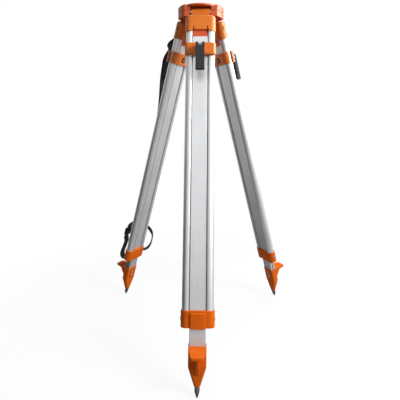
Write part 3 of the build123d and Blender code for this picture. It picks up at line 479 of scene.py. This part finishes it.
# %% Screws in the legs
for leg in LEGS:
    sideways, outwards = leg_axes(leg)[1][:2]
    low, high = reach(leg, f"{leg}_rail_screws")
    seat = high[0] - SMALL_THICK_MM
    upper, lower = low[2] + SMALL_HEAD_MM / 2, high[2] - SMALL_HEAD_MM / 2
    for place, along, steel in (("rail", upper, yellow_steel), ("collar", lower, plain_steel)):
        pair = [set_along(small_screw, in_world(leg, (side * seat, 0, along)), side * sideways)
                for side in (-1, 1)]
        screws = surface(f"{leg}_{place}_pan_screws", pair, steel)
        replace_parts(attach(screws, f"{leg}_upper"), f"{leg}_rail_screws")
    low, high = reach(leg, f"{leg}_foot_screws")
    seat = low[1] + SMALL_THICK_MM
    upper, lower = low[2] + SMALL_HEAD_MM / 2, high[2] - SMALL_HEAD_MM / 2
    pair = [set_along(small_screw, in_world(leg, (0, seat, along)), -outwards) for along in (upper, lower)]
    foot_screws = surface(f"{leg}_foot_pan_screws", pair, zinc_steel)
    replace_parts(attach(foot_screws, f"{leg}_lower"), f"{leg}_foot_screws")

# %% [markdown]
# Six larger screws hold the two halves of the head together from below. They stand in
# three pairs on a circle, between the legs.

# %% Screws under the head
HEAD_MM, HEAD_THICK_MM, HEAD_SHANK_MM = 10.0, 4.0, 6.0
HEAD_CIRCLE_MM, HEAD_PITCH_MM = 57.0, 18.0
low, high = (np.array(corner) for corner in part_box("head_screws"))
head_screw = pan_screw(HEAD_MM, HEAD_THICK_MM, HEAD_SHANK_MM, (high - low)[2] * 1000 - HEAD_THICK_MM)
corners = np.radians([0.0, 120.0, 240.0])
spots = [(HEAD_CIRCLE_MM * np.array([np.sin(turn), np.cos(turn)])
          + side * HEAD_PITCH_MM / 2 * np.array([np.cos(turn), -np.sin(turn)])) / 1000
         for turn in corners for side in (-1, 1)]
seat = low[2] + HEAD_THICK_MM / 1000
six = [set_along(head_screw, (*spot, seat), (0, 0, -1)) for spot in spots]
under = surface("head_pan_screws", six, oxide_steel)
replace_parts(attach(under, "head"), "head_screws")

# %% [markdown]
# ## Nuts on the clamp bolts
# Behind each clamp a blackened hexagon nut sits in its pocket, with the bright end of the
# bolt in the middle, one thread proud. CAD has nut and bolt in one solid. The nut is a
# ring whose outer radius follows a hexagon: half the width across flats divided by the
# cosine of the angle to the nearest flat. It closes over the solid's own head with a
# hair's breadth to spare. The bolt's end is a short lathe shape with a chamfer.

# %% Hexagon nuts
NUT_FLATS_MM, NUT_THICK_MM, NUT_HOLE_MM, CHAMFER_SHARE = 13.0, 5.0, 5.6, 0.53
NUT_SPARE_MM, NUT_PROUD_MM, NUT_LIFT_MM, NUT_CHAMFER_MM = 0.3, 0.4, 0.1, 0.8
END_PROUD_MM, END_GAP_MM, END_START_MM, END_CHAMFER_MM = 1.4, 0.1, 0.2, 0.7


def hex_nut(flats_mm, thick_mm, hole_mm, columns=48):
    """Ring [row, column, (across, up, along)]: hexagon outside, round hole inside, a chamfer on top."""
    angle = np.linspace(0, 2 * np.pi, columns, endpoint=False)
    hexagon = flats_mm / 2 / np.cos(angle % (np.pi / 3) - np.pi / 6)
    hole = np.full(columns, hole_mm / 2)
    chamfer = np.minimum(hexagon, CHAMFER_SHARE * flats_mm)
    radii = np.array([hole, hole, chamfer, hexagon, hexagon, hole])
    shoulder = thick_mm - NUT_CHAMFER_MM
    rows = np.array([NUT_LIFT_MM, thick_mm, thick_mm, shoulder, NUT_LIFT_MM, NUT_LIFT_MM])
    heights = rows[:, None] * np.ones(columns)
    return np.stack([radii * np.cos(angle), heights, radii * np.sin(angle)], -1)


nut = hex_nut(NUT_FLATS_MM + NUT_SPARE_MM, NUT_THICK_MM + NUT_PROUD_MM, NUT_HOLE_MM)
end_radius, end_height = NUT_HOLE_MM / 2 - END_GAP_MM, NUT_THICK_MM + END_PROUD_MM
end_radii = [0, end_radius, end_radius, end_radius - END_CHAMFER_MM, 0]
end_rows = [END_START_MM, END_START_MM, end_height - END_CHAMFER_MM, end_height, end_height]
bolt_end = turned(end_radii, end_rows, columns=32)[..., [0, 2, 1]]
for leg in LEGS:
    low, high = reach(leg, f"{leg}_clamp_bolt")
    middle = (low + high)[2] / 2
    for name, shape, steel in (("clamp_nut", nut, oxide_steel), ("bolt_end", bolt_end, zinc_steel)):
        places = np.array([0, low[1] + NUT_THICK_MM, middle]) + shape * (1, -1, 1)
        piece = surface(f"{leg}_{name}", [in_world(leg, places)], steel, sharp=30.0)
        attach(piece, f"{leg}_lower")

# %% [markdown]
# ## The fixing screw's thread
# An instrument is held by a 5/8-inch screw with eleven threads to the inch. A thread is a
# bolt whose radius rises and falls once for every pitch climbed, and the wave is shifted
# by one pitch for every turn. So it is one surface over angle and height, with no boolean
# and no helix to sweep. The crest keeps the stud's own diameter.

# %% Threaded stud
INCH_MM, THREADS_PER_INCH, NECK_MM = 25.4, 11, 10.0
DEPTH_SHARE, FLAT_SHARE, CLIP_GAP_MM, TIP_CHAMFER_MM = 0.61, 0.125, 0.8, 0.6
STUD_COLUMNS, ROWS_PER_PITCH = 48, 8
pitch = INCH_MM / THREADS_PER_INCH
low, high = (np.array(corner) * 1000 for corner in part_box("fixing_screw"))
major = (high[0] - low[0]) / 2
core = major - DEPTH_SHARE * pitch
thread_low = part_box("carriage_clip")[1].z * 1000 + CLIP_GAP_MM
angle = np.linspace(0, 2 * np.pi, STUD_COLUMNS, endpoint=False)
heights = np.arange(thread_low, high[2], pitch / ROWS_PER_PITCH)[:, None]
wave = np.abs(2 * ((heights / pitch - angle / (2 * np.pi)) % 1) - 1)
entry = np.clip((high[2] - heights) / pitch, 0, 1)
cut = np.clip((1 + 2 * FLAT_SHARE) * np.maximum(wave, 1 - entry) - FLAT_SHARE, 0, 1)
radii = major - DEPTH_SHARE * pitch * cut
ridges = np.stack([radii * np.cos(angle), radii * np.sin(angle), heights * np.ones(STUD_COLUMNS)], -1)
neck = turned([0, NECK_MM / 2, NECK_MM / 2, core], [low[2], low[2], thread_low, thread_low], STUD_COLUMNS)
tip = turned([core - TIP_CHAMFER_MM, 0], [high[2], high[2]], STUD_COLUMNS)
stud = surface("threaded_stud", [np.concatenate([neck, ridges, tip]) / 1000], brass, sharp=60.0)
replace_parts(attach(stud, "screw"), "fixing_screw")

# %% [markdown]
# ## Webbing
# The carrying strap is woven polyester, one inch wide and near black. Its ribs run across
# the band and its edges are rounded. The weave has to follow the band round its
# bends, so it reads the band's own flat coordinates, stored as UV in metres, and not the
# place in space. Ribs are drawn 2.4 mm apart, about three times as coarse as the real
# weave, so that they show. A Wave texture runs through 20 radians for each unit, so its
# scale is a full turn over 20, divided by the spacing.

# %% Polyester webbing
RIB_MM, THREAD_MM, WEAVE_DEEP_MM, WOBBLE = 2.4, 3.6, 0.4, 0.4
WAVE_TURN = 2 * np.pi / 20


def webbing(name, light, dark):
    """Woven band: ribs at steps along it times threads at steps across it, as tone and bump, with sheen."""
    material, tree, output = new_finish(name)
    flat = add(tree, "UVMap", uv_map="flat").outputs["UV"]
    ribs = add(tree, "TexWave", {"Vector": flat, "Scale": WAVE_TURN * 1000 / RIB_MM,
                                 "Distortion": WOBBLE, "Detail": 1.0}, bands_direction="Y")
    threads = add(tree, "TexWave", {"Vector": flat, "Scale": WAVE_TURN * 1000 / THREAD_MM,
                                    "Distortion": WOBBLE, "Detail": 1.0}, bands_direction="X")
    weave = add(tree, "Math", {0: ribs.outputs["Fac"], 1: threads.outputs["Fac"]}, operation="MULTIPLY")
    colour = add(tree, "Mix", {"Factor": weave.outputs["Value"], "A": srgb(dark), "B": srgb(light)},
                 data_type="RGBA")
    bump = add(tree, "Bump", {"Height": weave.outputs["Value"], "Strength": 0.5,
                              "Distance": WEAVE_DEEP_MM / 1000})
    shader = add(tree, "BsdfPrincipled", {"Base Color": colour.outputs["Result"], "Roughness": 0.82,
                                          "Normal": bump.outputs["Normal"], "Sheen Weight": 0.08,
                                          "Sheen Roughness": 0.5})
    tree.links.new(shader.outputs["BSDF"], output.inputs["Surface"])
    return material


black_webbing = webbing("woven_polyester_webbing", "#232427", "#101012")
sewing_thread = webbing("polyester_sewing_thread", "#4A4B4E", "#2A2B2D")
print("webbing:", black_webbing.name, sewing_thread.name)

# %% [markdown]
# ## The strap
# The strap is sewn round a wire loop on the hinge block, bows out over the lever, lies
# flat on the rails, bows out again through its slider and is sewn round a second loop
# under the collar. A cloth simulation would spoil the flat band, so it is modelled as a
# rounded profile carried along a smooth line. The line is a cubic B-spline, which never
# kinks, in the leg's side view. At each end it turns round the wire and runs back on itself.

# %% A smooth line, and a band along it
STEPS_PER_POINT, WIDE_POWER, THICK_POWER = 60, 0.45, 0.35


def smooth_line(points, count):
    """Uniform cubic B-spline that starts and ends on its end points, read at equal distances along it."""
    ends = np.asarray(points, float)
    knots = np.concatenate([[2 * ends[0] - ends[1]], ends, [2 * ends[-1] - ends[-2]]])
    step = np.linspace(0, len(ends) - 1, STEPS_PER_POINT * len(ends))
    first = np.minimum(step.astype(int), len(ends) - 2)
    part = (step - first)[:, None]
    weights = ((1 - part) ** 3, 3 * part ** 3 - 6 * part ** 2 + 4,
               -3 * part ** 3 + 3 * part ** 2 + 3 * part + 1, part ** 3)
    line = sum(weight * knots[first + place] for place, weight in enumerate(weights)) / 6
    run = np.concatenate([[0], np.cumsum(np.linalg.norm(np.diff(line, axis=0), axis=1))])
    even = np.linspace(0, run[-1], count)
    return np.stack([np.interp(even, run, side) for side in line.T], -1), even


def band(line, run, sides, width_mm, thick_mm, columns=28):
    """Band [row, column, xyz] and its UV: a superellipse as wide as the webbing, set square to the line."""
    angle = np.linspace(0, 2 * np.pi, columns, endpoint=False)
    wide = np.sign(np.cos(angle)) * np.abs(np.cos(angle)) ** WIDE_POWER * width_mm / 2000
    thick = np.sign(np.sin(angle)) * np.abs(np.sin(angle)) ** THICK_POWER * thick_mm / 2000
    ahead = np.gradient(line, axis=0)
    normals = np.cross(ahead / np.linalg.norm(ahead, axis=1, keepdims=True), sides)
    rows = line[:, None] + wide[:, None] * sides[:, None] + thick[:, None] * normals[:, None]
    ends = [np.repeat(line[place][None, None], columns, 1) for place in (0, -1)]
    flat = np.stack(np.broadcast_arrays(wide, run[:, None]), -1)
    return np.concatenate([ends[0], rows, ends[1]]), np.concatenate([flat[:1], flat, flat[-1:]])


straight = smooth_line([(0, 0), (10, 0), (20, 0), (30, 0)], 50)[1]
print("a straight line of 30 mm measures", round(straight[-1], 3), "mm")

# %% [markdown]
# Round each wire, a few points on a circle turn the line back, and the returning layer lies
# just over one strap thickness behind the first. A B-spline cuts inside its points, so that
# circle is drawn a fifth larger. Points are (out, along) in millimetres from the hinge.

# %% Sewn ends
STRAP_MM, STRAP_THICK_MM, WIRE_MM = 25.0, 1.6, 4.0
LAYER_MM, WIRE_GAP_MM, SPLINE_ROOM = 0.88, 0.1, 1.2
SEW_SHARES, WRAP_DEGREES = (1.0, 0.72, 0.45), (-10, 45, 90, 135, 190)


def turn_back(wire, ahead, sew_mm):
    """Points of a sewn end: from the inner layer, round the wire on a circle, to the outer layer."""
    wire, ahead = np.asarray(wire, float), np.asarray(ahead, float)
    ahead = ahead / np.linalg.norm(ahead)
    off = np.array([ahead[1], -ahead[0]])
    circle = SPLINE_ROOM * (WIRE_MM / 2 + STRAP_THICK_MM / 2 + WIRE_GAP_MM)
    back = [wire - LAYER_MM * off + sew_mm * share * ahead for share in SEW_SHARES]
    round_wire = [wire + circle * (-np.cos(turn) * off - np.sin(turn) * ahead)
                  for turn in np.radians(WRAP_DEGREES)]
    return back + round_wire + [wire + LAYER_MM * off + sew_mm * SEW_SHARES[-1] * ahead]


TOP_AHEAD, TOP_SEW_MM, BOTTOM_AHEAD, BOTTOM_SEW_MM = (9, 10), 12.0, (15, 11), 20.0
low, high = reach("left", "upper_strap_loop")
upper_wire = (high[1] - WIRE_MM / 2, (low[2] + high[2]) / 2)
low, high = reach("left", "lower_strap_loop")
lower_wire = ((low[1] + high[1]) / 2, high[2] - WIRE_MM / 2)
top_turn = turn_back(upper_wire, TOP_AHEAD, TOP_SEW_MM)
bottom_turn = turn_back(lower_wire, BOTTOM_AHEAD, BOTTOM_SEW_MM)[::-1]
print("points round the wires:", len(top_turn), len(bottom_turn))

# %% [markdown]
# Between its two ends the strap goes where the photograph shows it: out over the lever, in
# again and down along the rails, and out once more over the slider's middle bar and back.

# %% Strap route and strap
SLIDER_GAP_MM, STRAP_ROWS = 1.2, 900
slider_low, slider_high = reach("left", "strap_slider")
bar = (slider_low[2] + slider_high[2]) / 2
bow = slider_low[1] - SLIDER_GAP_MM
tucked_in = [(39.4, 97.0), (36.6, 89.0), (33.0, 80.0)]
neck = [(43.0, 75.0), (47.0, 81.0), (49.0, 87.0), (49.5, 92.0), (44.0, 96.0), (40.5, 99.0)]
over_lever = [(43.5, 106.0), (50.0, 118.0), (54.0, 132.0), (53.2, 146.0), (51.0, 170.0), (47.6, 200.0),
              (40.5, 232.0), (32.5, 270.0)]
along_rails = [(24.6, 335.0), (19.8, 410.0), (18.2, 500.0), (17.6, 600.0), (17.6, 680.0), (20.0, 706.0),
               (32.0, 724.0), (bow - 2.0, 738.0), (bow, 750.0)]
in_slider = [(bow + 0.4, bar - 10.0), (bow + 3.2, bar - 5.4), (bow + 6.9, bar - 2.2),
             (bow + 6.9, bar + 2.2), (bow + 3.2, bar + 5.4), (bow + 0.4, bar + 10.0)]
lower_bow = [(bow + 2.0, bar + 16.0), (bow + 6.5, bar + 21.0), (bow + 6.0, bar + 29.0), (bow, bar + 36.0),
             (bow, bar + 44.0), (bow + 2.5, 836.0), (bow + 6.0, 854.0), (bow + 8.5, 870.0),
             (bow + 5.0, 884.0), (40.0, 892.0)]
route = [*tucked_in, *top_turn, *neck, *over_lever, *along_rails, *in_slider, *lower_bow, *bottom_turn]
line, run = smooth_line(route, STRAP_ROWS)
across = leg_axes("left")[1][0]
strap_line = in_world("left", np.column_stack([np.zeros(len(line)), line]))
grid, flat = band(strap_line, run / 1000, np.tile(across, (len(line), 1)), STRAP_MM, STRAP_THICK_MM)
strap = surface("carrying_strap", [grid], black_webbing, flat=[flat])
print("strap length", round(run[-1]), "mm")

# %% [markdown]
# ## Stitches
# Each sewn end has rows of stitches through both layers. A stitch is a short bead of
# thread, round across and drawn in at its ends, pressed into the band's face. All of them
# are one grid with many copies.

# %% Stitches on the sewn ends
STITCH_MM, STITCH_THICK_MM, STITCH_STEP_MM, STITCH_PROUD_MM = 3.0, 0.7, 4.0, 0.1
STITCH_ROWS_MM = (-9.5, -3.2, 3.2, 9.5)


def beads(spots, aheads, normals, rows=6, columns=6):
    """Copies of a bead whose radius is the root of 1 - s^2 along s from -1 to 1, laid on the band."""
    share = np.linspace(-1, 1, rows)
    radius = np.sqrt(1 - share ** 2) * STITCH_THICK_MM / 2000
    angle = np.linspace(0, 2 * np.pi, columns, endpoint=False)
    sides = np.cross(aheads, normals)
    bead = np.stack([np.broadcast_to(share[:, None] * STITCH_MM / 2000, (rows, columns)),
                     radius[:, None] * np.cos(angle), radius[:, None] * np.sin(angle)], -1)
    axes = np.stack([aheads, sides, normals], 1)
    return spots[:, None, None] + np.einsum("rcx,nxk->nrck", bead, axes)


def sewn(first, last, face):
    """Stitches between two lengths of the strap, in rows at set distances from its middle, on one face."""
    lengths, rows = np.meshgrid(np.arange(first, last, STITCH_STEP_MM), STITCH_ROWS_MM)
    spots = np.stack([np.interp(lengths.ravel(), run, side) for side in strap_line.T], -1)
    ahead = np.stack([np.interp(lengths.ravel() + 1.0, run, side) for side in strap_line.T], -1) - spots
    ahead /= np.linalg.norm(ahead, axis=1, keepdims=True)
    normals = np.cross(ahead, across) * face
    lift = (STRAP_THICK_MM / 2 + STITCH_PROUD_MM) / 1000
    spots = spots + rows.reshape(-1, 1) / 1000 * across + normals * lift
    return beads(spots, ahead, normals)


end = run[-1]
seams = ((2.0, 11.0, 1), (99.0, 108.0, 1), (end - 51.0, end - 37.0, -1), (end - 15.0, end - 2.0, -1))
stitches = np.concatenate([sewn(*seam) for seam in seams])
sewing = surface("strap_stitches", stitches, sewing_thread, flat=stitches[..., :2], sharp=80.0)

# %% [markdown]
# ## The strap rides on the leg
# When the left lever swings open it needs the room that the bow takes. On the real tripod
# the webbing slides along its wire loops to one side. Here the strap and its stitches are
# carried on the leg's upper part with meshes of their own, and take the CAD strap's place.
# The strap narrows towards a line beside the lever as that joint opens, so that nothing
# cuts through it.

# %% Strap and stitches ride on the leg
for piece in (strap, sewing):
    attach(piece, "left_upper")
    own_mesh(piece)
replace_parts(strap, "strap")
print("strap hung between its loops")

# %% [markdown]
# ## The loose end
# Behind the slider the spare end comes out sideways and hangs in an open loop beside the
# leg, in a plane that is turned inwards. Webbing bends easily over its flat side and hardly
# at all over its edge, so it leaves flat and turns on its edge before the loop starts. One
# angle along the run does this: none lays the band flat in the loop's plane, a quarter turn
# sets it square to the plane, and it leans a little again where the loop comes back.

# %% Loose end of the strap
TAIL_MM, TAIL_ROWS, TAIL_TURN = 20.0, 260, np.radians(32.0)
TAIL_ROOT_MM = (-14.0, 46.6, 0.0)
axes = leg_axes("left")[1]
sideways = -np.cos(TAIL_TURN) * axes[0] - np.sin(TAIL_TURN) * axes[1]
square = np.cross(sideways, axes[2])
root = in_world("left", TAIL_ROOT_MM)
tail_route = [(0.0, bar), (8.0, bar - 6.0), (22.0, bar - 19.0), (42.0, bar - 24.0), (62.0, bar - 18.0),
              (81.0, bar), (93.0, bar + 25.0), (96.0, bar + 50.0), (91.0, bar + 75.0),
              (78.0, bar + 88.0), (60.0, bar + 90.0), (44.0, bar + 86.0)]
loop, tail_run = smooth_line(tail_route, TAIL_ROWS)
tail_line = root + (loop[:, :1] * sideways + loop[:, 1:] * axes[2]) / 1000
ahead = np.gradient(tail_line, axis=0)
ahead /= np.linalg.norm(ahead, axis=1, keepdims=True)
share = tail_run / tail_run[-1]
lean_at = [0.0, 0.08, 0.22, 0.3, 0.38, 0.46, 0.55, 0.62, 0.8, 1.0]
lean_degrees = [0, 8, 30, 40, 50, 64, 94, 104, 100, 92]
lean = np.radians(np.interp(share, lean_at, lean_degrees))[:, None]
sides = np.cos(lean) * np.cross(square, ahead) + np.sin(lean) * square
grid, flat = band(tail_line, tail_run / 1000, sides, TAIL_MM, STRAP_THICK_MM)
tail = surface("strap_loose_end", [grid], black_webbing, flat=[flat])
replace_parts(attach(tail, "left_upper"), "strap_tail")
print("loose end", round(tail_run[-1]), "mm")

# %% [markdown]
# ## Camera
# The photograph was taken from the height of the legs' upper third, a little more than a
# metre away, looking slightly down. Place, pitch and focal length come from fitting the
# heads and feet of the object, and a small downward shift keeps the verticals as they are.

# %% Camera at the photograph's place
PITCH, YAW, ROLL = np.radians((9.49, 0.768, 0.32))
CAMERA_PLACE, LENS_MM, SHIFT_DOWN = (0.0145, -1.0794, -0.336), 30.285, -0.051
camera = bpy.data.objects.new("camera", bpy.data.cameras.new("camera"))
camera.data.lens = LENS_MM
camera.data.shift_y = SHIFT_DOWN
turn = (Matrix.Rotation(YAW, 4, "Z") @ Matrix.Rotation(np.pi / 2 - PITCH, 4, "X")
        @ Matrix.Rotation(ROLL, 4, "Z"))
camera.matrix_world = Matrix.Translation(CAMERA_PLACE) @ turn
bpy.context.scene.collection.objects.link(camera)
bpy.context.scene.camera = camera
print("camera", np.round(camera.matrix_world.translation, 3).tolist())

# %% [markdown]
# ## White studio
# A catalogue photograph has a white ground with hardly a shadow. The world is white where
# the camera, a reflection or a refraction looks at it, and gives a lower even light to the
# object.

# %% White world
EVEN_LIGHT = 0.18
scene = bpy.context.scene
scene.view_settings.view_transform = "Standard"
world = bpy.data.worlds.new("white_studio")
scene.world = world
world.use_nodes = True
sky = world.node_tree
sky.nodes.clear()


def seen_directly(tree):
    """1 for camera rays, mirrored and refracted ones, 0 for the rest: the largest of the three flags."""
    path = add(tree, "LightPath").outputs
    either = add(tree, "Math", {0: path["Is Camera Ray"], 1: path["Is Glossy Ray"]}, operation="MAXIMUM")
    return add(tree, "Math", {0: either.outputs["Value"], 1: path["Is Transmission Ray"]},
               operation="MAXIMUM").outputs["Value"]


even = add(sky, "Background", {"Color": srgb("#FFFFFF"), "Strength": EVEN_LIGHT})
white = add(sky, "Background", {"Color": srgb("#FFFFFF"), "Strength": 1.0})
both = add(sky, "MixShader", {0: seen_directly(sky), 1: even.outputs[0], 2: white.outputs[0]})
add(sky, "OutputWorld", {"Surface": both.outputs[0]})
print("world:", world.name)

# %% [markdown]
# ## Pale floor
# The floor is a pale film: enough to hold a soft shadow, and clear towards its edge, so
# that no horizon shows. For the light that it throws back at the object it counts as more
# solid than the camera sees it.

# %% Floor
FLOOR_HALF_M, FILM_FULL_M, FILM_GONE_M = 4, 0.45, 1.1
FILM_COVER, BOUNCE_COVER = 0.10, 0.25


def plate(name, corners, material):
    """One four-sided face as a stage object, which is no part of the tripod."""
    mesh = bpy.data.meshes.new(name)
    mesh.from_pydata(corners, [], [(0, 1, 2, 3)])
    mesh.materials.append(material)
    piece = bpy.data.objects.new(name, mesh)
    scene.collection.objects.link(piece)
    return piece


pale, tree, output = new_finish("pale_floor_film")
place = add(tree, "TexCoord").outputs["Object"]
far = add(tree, "VectorMath", {0: place, 1: (1.0, 1.0, 0.0)}, operation="MULTIPLY")
far = add(tree, "VectorMath", {0: far.outputs["Vector"]}, operation="LENGTH")
film = add(tree, "MapRange", {"Value": far.outputs["Value"], "From Min": FILM_FULL_M,
                              "From Max": FILM_GONE_M, "To Min": FILM_COVER, "To Max": 0.0},
           interpolation_type="SMOOTHSTEP")
solid = add(tree, "MapRange", {"Value": seen_directly(tree), "To Min": BOUNCE_COVER, "To Max": 0.0})
cover = add(tree, "Math", {0: film.outputs["Result"], 1: solid.outputs["Result"]}, operation="MAXIMUM")
clear = add(tree, "BsdfTransparent")
paint = add(tree, "BsdfDiffuse", {"Color": srgb("#F4F4F4")})
both = add(tree, "MixShader", {0: cover.outputs["Value"], 1: clear.outputs[0], 2: paint.outputs[0]})
tree.links.new(both.outputs[0], output.inputs["Surface"])
half, ground = FLOOR_HALF_M, cad_box[0].z
plate("floor", [(-half, -half, ground), (half, -half, ground), (half, half, ground),
                (-half, half, ground)], pale)
print("floor at", round(ground, 4), "m")

# %% [markdown]
# ## Lamps
# A large soft lamp stands to the right of the camera, a second one hangs above the head
# and a weak third one grazes the right sides from behind.

# %% Soft lamps
def softbox(name, spot, aim, size, watts):
    """Square area lamp at a spot, turned to face the aim."""
    lamp = bpy.data.lights.new(name, "AREA")
    lamp.size, lamp.energy = size, watts
    piece = bpy.data.objects.new(name, lamp)
    back = Vector(spot) - Vector(aim)
    piece.matrix_world = Matrix.Translation(spot) @ back.to_track_quat("Z", "Y").to_matrix().to_4x4()
    piece.visible_camera = False
    scene.collection.objects.link(piece)


softbox("key_lamp", (1.8, -1.1, 0.8), (0, 0, -0.2), 0.9, 64)
softbox("top_lamp", (0.3, 0.2, 1.6), (0.1, -0.1, -0.6), 1.0, 26)
softbox("rim_lamp", (1.6, 0.75, 0.1), (0, 0, -0.5), 0.9, 4)
print("lamps:", [light.name for light in bpy.data.lights])

# %% [markdown]
# ## Grey cards
# In a room that is white all round, bare aluminium has nothing to reflect and turns flat.
# Product photographers stand grey cards just outside the picture. Two on the left give
# each round rail a dark side and a bright side and grow darker towards the floor. Three lie
# under the floor and tone the faces that look down, and one stands behind the camera, so
# that the front leg grows darker towards its foot. A bright strip on the right puts the
# white gleam on the castings' right-hand faces. Only reflections see them, and only from
# the front, so that a leg drawn out below the floor doesn't meet a card's dark back.

# %% Grey cards for the rails
LEFT_X, LEFT_LOW, LEFT_HIGH, UNDER_Z = -1.5, -1.6, 1.2, -1.2


def card(name, corners, axis, span, first, last, strength=1.0):
    """Plate, clear behind, that glows in front from tone first to last over a span along one axis."""
    material, tree, output = new_finish(name)
    place = add(tree, "SeparateXYZ", {0: add(tree, "TexCoord").outputs["Object"]})
    share = add(tree, "MapRange", {"Value": place.outputs[axis], "From Min": span[0], "From Max": span[1]})
    tone = add(tree, "Mix", {"Factor": share.outputs["Result"], "A": srgb(first), "B": srgb(last)},
               data_type="RGBA")
    glow = add(tree, "Emission", {"Color": tone.outputs["Result"], "Strength": strength})
    behind = add(tree, "NewGeometry").outputs["Backfacing"]
    clear = add(tree, "BsdfTransparent")
    one_sided = add(tree, "MixShader", {0: behind, 1: glow.outputs[0], 2: clear.outputs[0]})
    tree.links.new(one_sided.outputs[0], output.inputs["Surface"])
    flag = plate(name, corners, material)
    flag.visible_camera = flag.visible_diffuse = flag.visible_shadow = flag.visible_transmission = False


def upright(x, first_y, last_y, low, high):
    """Corners of a card square to x; its front looks to the right if first_y is the nearer of the two."""
    return [(x, first_y, low), (x, last_y, low), (x, last_y, high), (x, first_y, high)]


def lying(left, right, near, far):
    """Corners of a card under the floor that faces up."""
    return [(left, near, UNDER_Z), (right, near, UNDER_Z), (right, far, UNDER_Z), (left, far, UNDER_Z)]


near_corners = upright(LEFT_X, -2.4, 0.3, LEFT_LOW, LEFT_HIGH)
far_corners = upright(LEFT_X, 0.3, 1.6, LEFT_LOW, LEFT_HIGH)
back_corners = [(2.0, -2.6, -1.2), (-2.0, -2.6, -1.2), (-2.0, -2.6, 0.05), (2.0, -2.6, 0.05)]
strip_corners = upright(1.55, 0.75, -0.35, 0.2, 1.3)
card("near_card", near_corners, "Z", (-0.6, 0.2), "#060606", "#989898")
card("far_card", far_corners, "Z", (-0.9, 0.0), "#B2B2B2", "#F4F4F4")
card("low_left_card", lying(-2.0, 0.0, 0.2, 2.0), "X", (-1.3, -0.1), "#CCCCCC", "#1A1A1A")
card("low_front_card", lying(-2.0, 0.0, -2.0, 0.2), "X", (-0.8, -0.1), "#1C1C1C", "#B0B0B0")
card("low_right_card", lying(0.0, 6.0, -2.0, 4.0), "X", (0.0, 1.2), "#888888", "#B6B6B6")
card("back_card", back_corners, "Z", (-1.2, 0.05), "#8E8E8E", "#FFFFFF")
card("strip_card", strip_corners, "Z", (0.2, 1.3), "#FFFFFF", "#FFFFFF", 18.0)
cards = [piece.name for piece in scene.objects if piece.name.endswith("_card")]
print("cards seen by reflections only:", cards)
